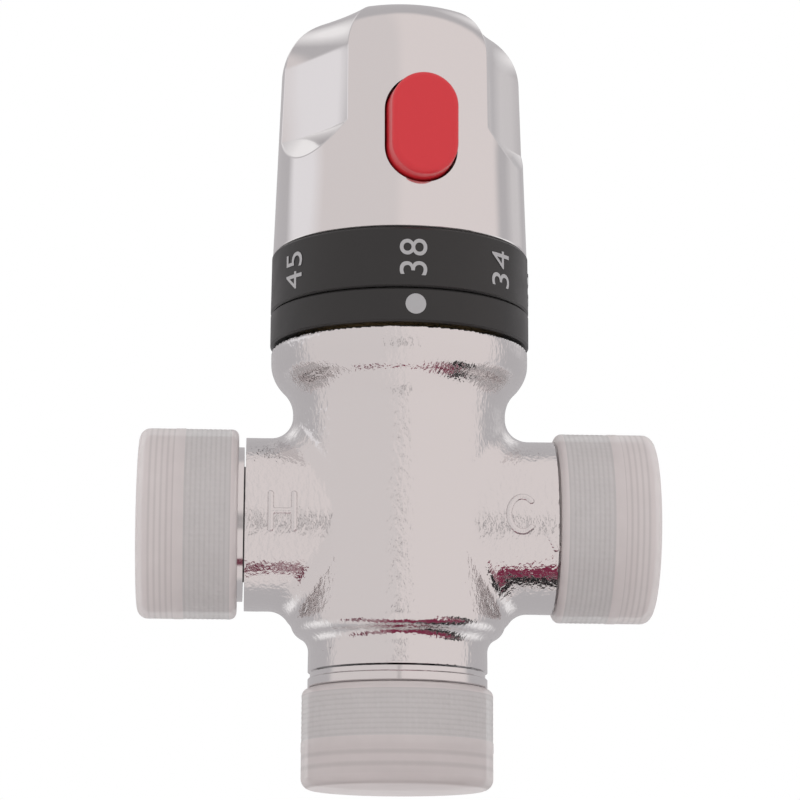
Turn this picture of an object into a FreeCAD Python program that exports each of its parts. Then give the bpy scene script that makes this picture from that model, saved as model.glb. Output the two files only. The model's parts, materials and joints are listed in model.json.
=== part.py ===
import FreeCAD, Part
import math
import os
import Sketcher

# Thermostatic mixing valve with three G3/4 male connections.
# Frame: origin at the centre of the outlet's end face, +Z up the valve axis to the handle,
# -X towards the hot inlet, +X towards the cold inlet, -Y to the front. Millimetres.

Vector = FreeCAD.Vector
TOLERANCE = 0.01

# ---------------------------------------------------------------- driving dimensions

SIZES = [
    # connections
    ("thread_radius", 13.22, "G3/4 male thread, major radius"),
    ("relief_radius", "=thread_radius - 1.02", "undercut behind each thread"),
    ("thread_chamfer", 0.8, "lead-in at each thread end"),
    ("inlet_height", 38.5, "inlet axis above the outlet face"),
    ("inlet_reach", 37.0, "valve axis to each inlet face"),
    ("inlet_thread", 11.05, "thread length at an inlet"),
    ("inlet_relief", 1.45, "undercut length at an inlet"),
    ("stub_radius", "=thread_radius + 0.48", "cast inlet stub, outside"),
    ("inlet_bore", 9.2, "inlet counterbore radius, holds the check valve"),
    ("passage_radius", "=inlet_bore - 1.2", "inlet passage radius behind the check valve"),
    ("outlet_thread", 11.05, "thread length at the outlet"),
    ("outlet_relief", 1.65, "undercut length at the outlet"),
    ("outlet_bore", 9.5, "outlet bore radius"),
    # casting, inside
    ("shelf_radius", 12.0, "bore above the spring shelf"),
    ("shelf_height", "=inlet_height - 20.0", "spring shelf above the outlet face"),
    ("cartridge_base", "=inlet_height - 14.0", "shelf that the cartridge stands on"),
    ("cartridge_top", "=inlet_height + 11.0", "top of the cartridge housing"),
    ("chamber_radius", 13.5, "bore that the cartridge seals in"),
    ("gallery_radius", "=chamber_radius + 1.1", "hot and cold galleries"),
    ("gallery_height", 6.0, "height of each gallery"),
    ("land_height", 8.0, "land between the two galleries"),
    ("passage_end", "=gallery_radius + 1.6", "blind end of the inlet passage from the valve axis"),
    ("counterbore_end", "=passage_end + 1.7", "inner end of the inlet counterbore"),
    ("port_width", 12.0, "port from an inlet passage to its gallery"),
    ("port_reach", "=passage_end + 3.8", "outer end of that port from the valve axis"),
    ("port_sink", 1.0, "how far that port reaches in past the chamber wall"),
    ("bonnet_bore", "=chamber_radius + 1.5", "bonnet thread in the casting"),
    ("bonnet_bore_base", "=cartridge_top + 4.0", "bottom of that thread"),
    # casting, outside
    ("collar_height", 1.5, "turned collar above the outlet undercut"),
    ("collar_groove", 0.8, "groove above the collar"),
    ("collar_groove_depth", 0.35, "depth of that groove"),
    ("neck_radius", "=thread_radius + 0.88", "outlet neck"),
    ("barrel_radius", "=gallery_radius + 2.3", "cast barrel"),
    ("belly_end", "=inlet_height - stub_radius - 1.8", "where the neck's swell meets the barrel"),
    ("belly_start", "=belly_end - 4.6", "where the neck starts to swell"),
    ("casting_top", "=inlet_height + 28.1", "top face of the casting"),
    ("flare_end", "=casting_top - 2.0", "where the barrel's flare meets the top"),
    ("flare_start", "=flare_end - 8.4", "where the barrel starts to flare"),
    ("top_radius", "=bonnet_bore + 5.5", "top of the casting"),
    ("stub_fillet", 3.6, "cast radius between stubs and barrel"),
    # fits and tools
    ("slip", 0.1, "radial gap between pieces that stay together"),
    ("running", 0.06, "radial gap of a running fit"),
    ("plunger_gap", 0.08, "radial gap of a piece that slides in a bore"),
    ("free_gap", 0.3, "gap between pieces that pass each other"),
    ("seam", 0.05, "gap between pieces that stand on each other"),
    ("clip_gap", 0.02, "gap round a clip in its groove"),
    ("o_ring_space", 0.03, "gap at an o-ring so that it is clear of its walls"),
    ("edge_break", 0.5, "small chamfer of a turned edge"),
    ("overrun", 1.0, "how far a cut runs past what it cuts"),
    ("pad_sink", 0.5, "how far an added form starts inside its base"),
    ("hole_wall", 0.15, "wall on both sides of a flow hole"),
    # cartridge
    ("seat_bore", "=guide_bore - 1.5", "bore through both seats"),
    ("seat_lip_radius", "=seat_bore + 0.9", "outside of both seat lips"),
    ("seat_lip_foot", "=seat_lip_radius + 0.4", "outside of a seat lip at its foot"),
    ("upper_seat_rim", 2.0, "rim of the upper seat"),
    ("window_bore", "=chamber_radius - 2.3", "housing bore behind the windows"),
    ("guide_bore", "=chamber_radius - 3.8", "housing bore that guides the shuttle"),
    ("guide_half", 4.5, "half the height of that guide"),
    ("window_width", 5.4, "width of each housing window"),
    ("window_height", 4.0, "height of each housing window"),
    ("window_sill", 0.5, "housing floor below the lower windows"),
    ("window_count", 6, "windows in each row"),
    ("groove_land", 0.96, "land below the lowest o-ring groove"),
    ("groove_width", 2.4, "o-ring groove width"),
    ("o_ring_wire", 0.98, "o-ring section radius"),
    # shuttle and element
    ("shuttle_half", 5.5, "half the height of the shuttle"),
    ("seat_gap", 1.0, "gap from the shuttle to each seat"),
    ("shuttle_wall", 2.6, "shuttle wall at the middle"),
    ("shuttle_edge", 1.3, "shuttle wall at both lips"),
    ("shuttle_groove", 1.1, "half the width of the shuttle's o-ring groove"),
    ("shuttle_ring_wire", 0.88, "section radius of the shuttle's o-ring"),
    ("shuttle_holes", 10, "flow holes through the shuttle web"),
    ("web_half", 1.5, "half the thickness of the shuttle web"),
    ("hub_half", 3.0, "half the height of the shuttle hub"),
    ("hub_radius", 4.6, "shuttle hub"),
    ("element_neck", 3.4, "neck of the wax element in the hub"),
    ("element_thread", 3.0, "thread of the wax element above the hub"),
    ("element_nut_height", 2.4, "nut on that thread"),
    ("element_guide", 3.0, "outside of the wax element's piston guide"),
    ("element_guide_top", 5.0, "top of that guide above the hub"),
    ("bulb_radius", 4.9, "bulb of the wax element"),
    ("bulb_length", 13.0, "length of that bulb"),
    ("bulb_edge", 1.0, "rounding of that bulb"),
    ("piston_radius", 1.5, "piston of the wax element"),
    ("piston_bore", 3.0, "bottom of the piston's bore below the inlet axis"),
    ("piston_foot", 1.5, "bottom of the piston below the inlet axis"),
    ("piston_tip", 0.3, "chamfer of the piston's tip"),
    ("seat_disc", 1.2, "perforated disc under the return spring"),
    ("seat_hole", 1.2, "hole radius of that disc"),
    ("seat_inner_circle", 2.6, "circle of its inner holes"),
    ("seat_inner_holes", 5, "inner holes"),
    ("seat_outer_circle", 8.3, "circle of its outer holes"),
    ("seat_outer_holes", 14, "outer holes"),
    ("return_wire", 0.5, "return spring wire radius"),
    ("return_turns", 5, "return spring turns"),
    ("return_gap", 0.25, "gap from the return spring to the shuttle's wall"),
    # adjuster
    ("adjuster_radius", 8.6, "adjuster nut"),
    ("adjuster_base", "=cartridge_top + 0.8", "bottom of the adjuster nut"),
    ("adjuster_top", "=casting_top - 3.6", "top of the adjuster nut"),
    ("adjuster_shoulder", "=adjuster_top - 4.6", "shoulder over the overload spring"),
    ("adjuster_cavity", 7.0, "cavity of the adjuster nut"),
    ("lug_radius", "=adjuster_radius + 1.5", "anti-turn lugs of the adjuster nut"),
    ("lug_width", 3.6, "width of those lugs"),
    ("lug_travel", 1.2, "room above those lugs"),
    ("clip_rise", 0.7, "adjuster clip above the nut's bottom"),
    ("clip_thickness", 0.7, "adjuster clip"),
    ("clip_depth", 0.5, "groove of the adjuster clip"),
    ("clip_stand", 1.0, "how far that clip stands into the cavity"),
    ("cup_floor", 2.0, "underside of the overload cup above the nut's bottom"),
    ("cup_flange", 1.0, "flange of the overload cup"),
    ("cup_boss", 1.6, "boss of the overload cup in its spring"),
    ("overload_wire", 0.5, "overload spring wire radius"),
    ("overload_turns", 3, "overload spring turns"),
    ("overload_gap", 0.4, "gap from the overload spring to the cavity"),
    # spindle
    ("spindle_thread", 5.0, "spindle thread, major radius"),
    ("spindle_lead", 0.6, "chamfer of the spindle's lower end"),
    ("spindle_base", "=adjuster_shoulder - 2.0", "bottom of the spindle"),
    ("cavity_top", "=casting_top + 2.0", "shoulder above the spindle collar"),
    ("collar_radius", 7.4, "thrust collar of the spindle"),
    ("collar_thickness", 2.5, "thickness of that collar"),
    ("stem_radius", "=spindle_thread + 0.5", "spindle stem in the bonnet"),
    ("stem_groove", 1.9, "width of each stem o-ring groove"),
    ("stem_o_ring", 0.75, "section radius of the stem o-rings"),
    ("stem_ring_rise", 2.4, "lower stem o-ring above the collar's shoulder"),
    ("stem_ring_pitch", 4.0, "distance between the stem o-rings"),
    ("spline_radius", "=stem_radius - 0.8", "spindle spline, outside"),
    ("spline_depth", 0.5, "depth of the spline grooves"),
    ("spline_count", 16, "spline grooves"),
    ("spline_rise", 0.9, "start of the spline above the spindle clip"),
    ("spindle_top", "=screw_seat - 8.5", "top of the spindle"),
    ("spindle_clip_thickness", 0.8, "spindle clip"),
    ("spindle_clip_depth", 0.6, "groove of the spindle clip"),
    ("spindle_clip_reach", 1.4, "how far that clip stands out past the stem"),
    ("spindle_clip_mouth", 1.85, "half the width of that clip's mouth"),
    ("screw_radius", 2.0, "handle screw"),
    ("screw_hole", 11.0, "depth of the screw hole in the spindle"),
    ("screw_depth", 10.0, "how far the screw goes into the spindle"),
    # bonnet
    ("cavity_radius", "=adjuster_radius + 0.4", "bonnet cavity around the adjuster nut"),
    ("bonnet_top", "=number_top - 2.1", "top of the bonnet neck"),
    ("bonnet_neck", 8.6, "bonnet neck radius"),
    ("bonnet_groove_rise", 0.8, "o-ring groove above the bonnet's bottom"),
    ("bonnet_lead", 1.1, "height of the cone below the bonnet's thread"),
    ("bonnet_relief", 1.2, "undercut above the bonnet's thread"),
    ("bonnet_relief_depth", 0.8, "depth of that undercut"),
    ("flange_radius", "=bonnet_bore + 1.6", "bonnet flange"),
    ("flange_thickness", 1.8, "thickness of that flange"),
    ("hexagon_flats", 26.0, "bonnet hexagon across flats"),
    ("hexagon_height", 3.7, "height of that hexagon"),
    ("neck_flats", "=bonnet_neck * 2 - 2.0", "flats on the neck that hold the stop ring"),
    # rings
    ("ring_radius", "=top_radius + 0.2", "both black rings, outside"),
    ("ring_edge", 0.3, "chamfer of both rings and of the handle's foot"),
    ("ring_draft", 0.1, "how much the number ring narrows to its top"),
    ("ring_web", 1.6, "web of the index ring over the bonnet's flange"),
    ("ring_step", 0.4, "how much smaller the index ring's bore is than the skirt"),
    ("index_base", "=casting_top + 0.5", "bottom of the index ring"),
    ("index_top", "=index_base + 5.35", "top of the index ring"),
    ("number_base", "=index_top + 0.15", "bottom of the number ring"),
    ("number_top", "=number_base + 9.5", "top of the number ring"),
    ("stop_thickness", 3.0, "stop ring"),
    ("stop_radius", 12.0, "stop ring, outside"),
    ("stop_lug_radius", "=handle_bore - 0.8", "stop lug, outside"),
    ("stop_lug_angle", 148.0, "width of the stop lug"),
    # handle
    ("handle_turned", 7.0, "angle of the button from the front at rest"),
    ("turn_middle", 7.0, "middle of the handle's travel, from rest"),
    ("finger_angle", -60.0, "stop finger from the button"),
    ("finger_width", 20.0, "angle that the stop finger takes"),
    ("handle_height", 40.4, "handle above the number ring"),
    ("handle_base_radius", "=ring_radius - 0.25", "handle above the number ring"),
    ("handle_side_radius", "=handle_base_radius - 1.0", "handle where its side meets the edge"),
    ("handle_top", "=number_top + handle_height", "top of the handle's crown"),
    ("handle_side_top", "=handle_top - 11.0", "height where the side meets the rounded edge"),
    ("handle_edge", 10.0, "rounded edge between side and crown"),
    ("crown_radius", 60.0, "radius of the crown"),
    ("handle_bore", "=ring_radius - 4.8", "inside of the handle"),
    ("skirt_radius", "=handle_bore + 1.7", "skirt that carries the number ring"),
    ("skirt_base", "=number_base + 0.8", "bottom of that skirt"),
    ("ceiling", "=handle_top - 7.0", "ceiling inside the handle"),
    ("ceiling_radius", 5.0, "rounding between ceiling and bore"),
    ("boss_radius", 6.8, "screw boss inside the handle"),
    ("boss_base", "=handle_top - 20.5", "bottom of that boss"),
    ("screw_seat", "=handle_top - 17.0", "floor that the screw head sits on"),
    ("screw_head", 4.0, "screw head radius"),
    ("screw_head_height", 3.0, "screw head"),
    ("screw_head_edge", 1.2, "rounding of the screw head"),
    ("screw_head_gap", 0.6, "gap around the screw head"),
    ("driver_reach", 2.2, "half the length of a driver slot"),
    ("driver_half", 0.5, "half the width of a driver slot"),
    ("driver_depth", 1.8, "depth of a driver slot"),
    ("plug_radius", 6.5, "plug in the handle's top"),
    ("plug_seat", "=handle_top - 3.9", "shoulder under the plug"),
    ("plug_stem", 3.0, "stem of the plug"),
    ("recess_floor", "=handle_bore + 1.1", "middle of a recess floor from the valve axis"),
    ("recess_hollow", 40.0, "radius that hollows a recess floor"),
    ("recess_sweep", 60.0, "angle that a recess cut is turned through"),
    ("recess_count", 3, "finger recesses"),
    ("recess_foot", "=handle_top - 22.3", "where a recess floor starts"),
    ("recess_ramp", 4.4, "height of the ramp below a recess floor"),
    ("recess_ramp_depth", 2.9, "depth of that ramp"),
    ("recess_lean", 0.2, "how much a recess floor leans in to its shoulder"),
    ("recess_shoulder", "=handle_top - 10.5", "where a recess floor turns in to the crown"),
    ("recess_turn", 10.0, "radius of that turn"),
    ("recess_clear", 4.0, "how far a recess cut reaches past the handle"),
    ("recess_edge", 0.5, "rounding of the recess edges"),
    # handle insert
    ("insert_hub", "=boss_radius + 1.2", "hub of the insert on the spindle"),
    ("insert_gap", 2.4, "insert above the bonnet"),
    ("insert_rise", 2.0, "insert disc above the number ring"),
    ("insert_disc", 2.2, "thickness of that disc"),
    ("rib_foot", 3.0, "height of an insert rib at the rim"),
    ("rib_drop", 4.0, "top of an insert rib below the hub's top"),
    ("rib_width", 1.6, "width of an insert rib"),
    ("spigot_radius", 1.6, "spigot inside the button's spring"),
    ("spigot_length", 1.7, "length of that spigot"),
    # button
    ("button_height", "=number_top + 16.2", "centre of the button"),
    ("button_width", 11.2, "button at its base"),
    ("button_length", 17.2, "button at its base"),
    ("button_gap", 0.2, "gap between the button and its slot"),
    ("button_reach", "=handle_base_radius + 2.95", "button face from the valve axis"),
    ("button_draft", 0.35, "how much the button narrows to its face"),
    ("button_edge", 0.9, "rounding of the button's face"),
    ("button_back", "=handle_bore - 2.9", "back of the button's flange"),
    ("button_flange", 1.2, "thickness of that flange"),
    ("button_margin", 1.0, "how far the flange stands out around the button"),
    ("button_pocket", 3.2, "pocket for the button's spring"),
    ("button_pocket_depth", 3.4, "depth of that pocket"),
    ("button_coil", 2.4, "button spring, radius"),
    ("button_wire", 0.35, "button spring wire radius"),
    ("button_turns", 5, "button spring turns"),
    ("tongue_width", 5.0, "latch tongue of the button"),
    ("tongue_side", 0.5, "gap beside the tongue in the insert"),
    ("tongue_clearance", 0.6, "gap from the tongue to the stop ring"),
    # caps
    ("cap_bore", "=thread_radius + 0.68", "inside of a protective cap"),
    ("cap_radius", "=cap_bore + 1.1", "protective cap, outside"),
    ("cap_length", 15.6, "protective cap"),
    ("cap_wall", 0.95, "end wall of a cap"),
    ("cap_bead", "=thread_radius + 0.06", "mouth bead of a cap"),
    ("cap_bead_length", 0.45, "length of that bead"),
    ("cap_bead_back", 0.3, "slope behind that bead"),
    ("cap_bead_edge", 0.15, "chamfer of that bead"),
    ("cap_mouth_edge", 0.2, "chamfer of a cap's mouth, outside"),
    ("cap_edge", 1.7, "rounding of a cap's end"),
    ("cap_corner", 0.6, "chamfer in the bottom of a cap"),
    ("outlet_cap_gap", 2.1, "end wall of the outlet cap to the stub"),
    ("hot_cap_gap", 3.05, "end wall of the hot cap to the stub"),
    ("cold_cap_gap", 2.25, "end wall of the cold cap to the stub"),
    # check valves
    ("check_radius", "=inlet_bore - plunger_gap", "check valve housing"),
    ("check_length", 12.4, "length of that housing"),
    ("check_bore", "=check_radius - 1.52", "inside of that housing"),
    ("check_seat", "=check_bore - 2.4", "seat bore of a check valve"),
    ("check_land", 2.8, "depth of the seat from the housing's end"),
    ("check_mouth", 0.8, "chamfer at the housing's mouth"),
    ("check_cone", 0.8, "height of the cone from the seat to the housing's bore"),
    ("check_face", 1.0, "width of the seat's face"),
    ("check_hub", 2.4, "hub that guides the poppet's stem"),
    ("check_hub_drop", 1.0, "how far that hub stands in"),
    ("check_bridge", 2.0, "thickness of the bridge that carries the hub"),
    ("check_openings", 4, "openings in that bridge"),
    ("check_ring_wire", 0.85, "section radius of the housing's o-ring"),
    ("check_ring_height", 1.4, "middle of that o-ring from the housing's end"),
    ("check_groove", 1.0, "half the width of its groove"),
    ("poppet_radius", "=check_bore - 1.2", "check poppet"),
    ("poppet_disc", 1.4, "thickness of the poppet's disc"),
    ("poppet_nose", 1.6, "nose of the poppet in its seat"),
    ("poppet_nose_flat", 1.8, "how much smaller the nose is than the seat"),
    ("poppet_stem", 1.2, "poppet stem"),
    ("poppet_root", 0.6, "cone at that stem's root, and its end below the hub's"),
    ("seal_wire", 0.45, "section radius of the poppet's seal"),
    ("check_coil", 3.3, "check spring, radius"),
    ("check_wire", 0.3, "check spring wire radius"),
    ("check_turns", 4, "check spring turns"),
    ("strainer_thickness", 0.8, "inlet strainer"),
    ("strainer_hole", 1.0, "hole radius of the strainer"),
    ("strainer_inner_circle", 3.2, "circle of its inner holes"),
    ("strainer_inner_holes", 6, "inner holes"),
    ("strainer_outer_circle", 6.3, "circle of its outer holes"),
    ("strainer_outer_holes", 12, "outer holes"),
]


class Size:
    """A length with the spreadsheet formula that gives it."""

    def __init__(self, number, formula):
        self.number = float(number)
        self.formula = formula

    def __float__(self):
        return self.number

    def _joined(self, other, sign, number):
        text = other.formula if isinstance(other, Size) else repr(float(other))
        return Size(number, "(%s %s %s)" % (self.formula, sign, text))

    def __add__(self, other):
        return self._joined(other, "+", self.number + float(other))

    def __sub__(self, other):
        return self._joined(other, "-", self.number - float(other))

    def __mul__(self, other):
        return self._joined(other, "*", self.number * float(other))

    def __truediv__(self, other):
        return self._joined(other, "/", self.number / float(other))

    def __rmul__(self, other):
        return self * other

    def __neg__(self):
        return self * -1.0


doc = FreeCAD.newDocument("thermostatic_mixing_valve")
sheet = doc.addObject("Spreadsheet::Sheet", "sizes")
for row, (alias, _, _) in enumerate(SIZES, start=1):
    sheet.setAlias("A%d" % row, alias)
for row, (_, content, note) in enumerate(SIZES, start=1):
    sheet.set("A%d" % row, str(content))
    sheet.set("B%d" % row, note)
doc.recompute()
size = {alias: Size(sheet.get(alias), "sizes." + alias) for alias, _, _ in SIZES}

made = []


# ---------------------------------------------------------------- tools for sketches and features

def bind(thing, name, length):
    """Set a property to a length and tie it to the spreadsheet."""
    if isinstance(length, Size):
        thing.setExpression(name, length.formula)
    elif "." not in name:
        setattr(thing, name, length)


def new_body(name):
    body = doc.addObject("PartDesign::Body", name)
    body.Label = name
    made.append(body)
    return body


def new_sketch(body, name, plane, offset=(0, 0, 0)):
    """A sketch on one of the body's own planes, moved by an offset in the sketch's own axes."""
    sketch = body.newObject("Sketcher::SketchObject", name)
    planes = {item.Role: item for item in body.Origin.OriginFeatures}
    sketch.AttachmentSupport = [(planes[plane], "")]
    sketch.MapMode = "FlatFace"
    for axis, length in zip("xyz", offset):
        if isinstance(length, Size):
            sketch.setExpression("AttachmentOffset.Base." + axis, length.formula)
    return sketch


class Arc:
    """A corner that is reached by an arc; a positive radius has its centre on the left.

    A smooth arc is held by its tangent to the edge before it, instead of by its radius.
    """

    def __init__(self, across, up, radius, smooth=False):
        self.across = across
        self.up = up
        self.radius = radius
        self.smooth = smooth


def s_curve(start, end):
    """Two equal arcs, both ends running along the second direction."""
    across = (end[0] - start[0]) / 2
    up = (end[1] - start[1]) / 2
    radius = (across * across + up * up) / (across * 2)
    side = 1.0 if float(across) > 0 else -1.0
    middle = (start[0] + across, start[1] + up)
    turn = radius * side
    first = -1.0 if float(up) * side > 0 else 1.0
    return [Arc(middle[0], middle[1], turn * first), Arc(end[0], end[1], turn * -first)]


def corner(item):
    if isinstance(item, Arc):
        return item.across, item.up
    return item


def arc_geometry(start, end, radius):
    """Arc from start to end; a positive radius puts its centre on the left of the way there."""
    chord = end - start
    half = chord.Length / 2
    left = Vector(-chord.y, chord.x, 0)
    left.normalize()
    reach = math.sqrt(max(radius * radius - half * half, 0.0))
    side = 1.0 if radius > 0 else -1.0
    centre = (start + end) * 0.5 + left * (reach * side)
    angles = [math.atan2(point.y - centre.y, point.x - centre.x) for point in (start, end)]
    if radius < 0:
        angles.reverse()
    circle = Part.Circle(centre, Vector(0, 0, 1), abs(radius))
    return Part.ArcOfCircle(circle, angles[0], angles[1])


def draw(sketch, path):
    """Draw a closed outline whose corners are tied to the spreadsheet."""
    corners = [corner(item) for item in path]
    points = [Vector(float(across), float(up), 0) for across, up in corners]
    first = sketch.GeometryCount
    count = len(path)
    begins = []
    ends = []
    constraints = []
    bound = []

    def add(constraint, length=None):
        if isinstance(length, Size):
            bound.append((sketch.ConstraintCount + len(constraints), length.formula))
        constraints.append(constraint)

    for index in range(count):
        target = path[(index + 1) % count]
        start = points[index]
        end = points[(index + 1) % count]
        radius = float(target.radius) if isinstance(target, Arc) else 0.0
        if radius:
            sketch.addGeometry(arc_geometry(start, end, radius), False)
        else:
            sketch.addGeometry(Part.LineSegment(start, end), False)
        begins.append(2 if radius < 0 else 1)
        ends.append(1 if radius < 0 else 2)
    for index in range(count):
        edge = first + index
        after = (index + 1) % count
        beyond = path[(index + 2) % count]
        joint = "Tangent" if isinstance(beyond, Arc) and beyond.smooth else "Coincident"
        add(Sketcher.Constraint(joint, edge, ends[index], first + after, begins[after]))
        across, up = corners[index]
        if abs(float(across)) < 1e-9:
            add(Sketcher.Constraint("PointOnObject", edge, begins[index], -2))
        else:
            add(Sketcher.Constraint("DistanceX", -1, 1, edge, begins[index], float(across)), across)
        if abs(float(up)) < 1e-9:
            add(Sketcher.Constraint("PointOnObject", edge, begins[index], -1))
        else:
            add(Sketcher.Constraint("DistanceY", -1, 1, edge, begins[index], float(up)), up)
        target = path[after]
        if isinstance(target, Arc) and not target.smooth:
            radius = target.radius if float(target.radius) > 0 else target.radius * -1.0
            add(Sketcher.Constraint("Radius", edge, float(radius)), radius)
    sketch.addConstraint(constraints)
    for index, formula in bound:
        sketch.setExpression("Constraints[%d]" % index, formula)


def draw_circle(sketch, across, up, radius):
    circle = sketch.addGeometry(Part.Circle(Vector(float(across), float(up), 0), Vector(0, 0, 1),
                                            float(radius)), False)
    places = [("DistanceX", -2, across), ("DistanceY", -1, up)]
    for kind, axis, length in places:
        if abs(float(length)) < 1e-9:
            sketch.addConstraint(Sketcher.Constraint("PointOnObject", circle, 3, axis))
            continue
        index = sketch.addConstraint(Sketcher.Constraint(kind, -1, 1, circle, 3, float(length)))
        if isinstance(length, Size):
            sketch.setExpression("Constraints[%d]" % index, length.formula)
    index = sketch.addConstraint(Sketcher.Constraint("Radius", circle, float(radius)))
    if isinstance(radius, Size):
        sketch.setExpression("Constraints[%d]" % index, radius.formula)


def rectangle(left, low, right, high):
    return [(left, low), (right, low), (right, high), (left, high)]


def ring_sector(inner, outer, middle, width):
    """A piece of a flat ring; its middle is measured from the front, towards +X."""
    first, last = [math.radians(middle - 90.0 + side * width / 2) for side in (-1, 1)]
    return [Arc(inner * math.cos(first), inner * math.sin(first), -inner),
            (outer * math.cos(first), outer * math.sin(first)),
            Arc(outer * math.cos(last), outer * math.sin(last), outer),
            (inner * math.cos(last), inner * math.sin(last))]


def oblong(half_width, half_length):
    """An upright slot outline with full round ends, centred on the sketch's origin."""
    straight = half_length - half_width
    return [Arc(half_width, -straight, half_width, True), (half_width, straight),
            Arc(-half_width, straight, half_width, True), (-half_width, -straight)]


def turn(body, name, path, axis="V_Axis", offset=(0, 0, 0), kind="Revolution"):
    """Revolve an outline of (radius, height) corners, or cut it away as a groove."""
    sketch = new_sketch(body, name + "_outline", "XZ_Plane", offset)
    draw(sketch, path)
    feature = body.newObject("PartDesign::" + kind, name)
    feature.Profile = sketch
    feature.ReferenceAxis = (sketch, [axis])
    feature.Angle = 360.0
    body.Tip = feature


def extrude(body, name, sketch, length, kind="Pad", reverse=False, midplane=False):
    feature = body.newObject("PartDesign::" + kind, name)
    feature.Profile = sketch
    bind(feature, "Length", length)
    feature.Reversed = reverse
    feature.Midplane = midplane
    body.Tip = feature
    return feature


def around(body, name, features, count):
    """Repeat features around the body's Z axis."""
    pattern = body.newObject("PartDesign::PolarPattern", name)
    pattern.Originals = features
    axes = {item.Role: item for item in body.Origin.OriginFeatures}
    pattern.Axis = (axes["Z_Axis"], [""])
    pattern.Angle = 360.0
    bind(pattern, "Occurrences", count)
    body.Tip = pattern


def round_edges(body, name, chosen, radius):
    """Fillet the edges of the current tip that a test picks."""
    doc.recompute()
    base = body.Tip
    names = ["Edge%d" % (index + 1) for index, edge in enumerate(base.Shape.Edges) if chosen(edge)]
    feature = body.newObject("PartDesign::Fillet", name)
    feature.Base = (base, names)
    bind(feature, "Radius", radius)
    body.Tip = feature


def edge_points(edge, count=7):
    first, last = edge.ParameterRange
    return [edge.valueAt(first + (last - first) * step / (count - 1.0)) for step in range(count)]


def turned(name, path):
    """A sub-part that is one turned form about its own Z axis."""
    body = new_body(name)
    turn(body, "turned", path)
    return body


def o_ring(name, radius, wire, height):
    ring = doc.addObject("Part::Torus", name)
    ring.Label = name
    bind(ring, "Radius1", radius)
    bind(ring, "Radius2", wire)
    bind(ring, "Placement.Base.z", height)
    made.append(ring)
    return ring


def spring(name, radius, wire, turns, length):
    """A round wire spring with its ends ground flat, standing on its own XY plane."""
    radius, wire, turns, length = [float(item) for item in (radius, wire, turns, length)]
    rise = (length - 2 * wire) / turns
    helix = Part.makeLongHelix(rise, length - 2 * wire, radius)
    helix.translate(Vector(0, 0, wire))
    along = Vector(0, 2 * math.pi * radius, rise)
    profile = Part.Wire([Part.Circle(Vector(radius, 0, wire), along, wire).toShape()])
    coil = helix.makePipeShell([profile], True, True)
    feature = doc.addObject("Part::Feature", name)
    feature.Label = name
    feature.Shape = coil
    made.append(feature)
    return feature


def lift(feature, height):
    bind(feature, "Placement.Base.z", height)


# ---------------------------------------------------------------- casting

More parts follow.
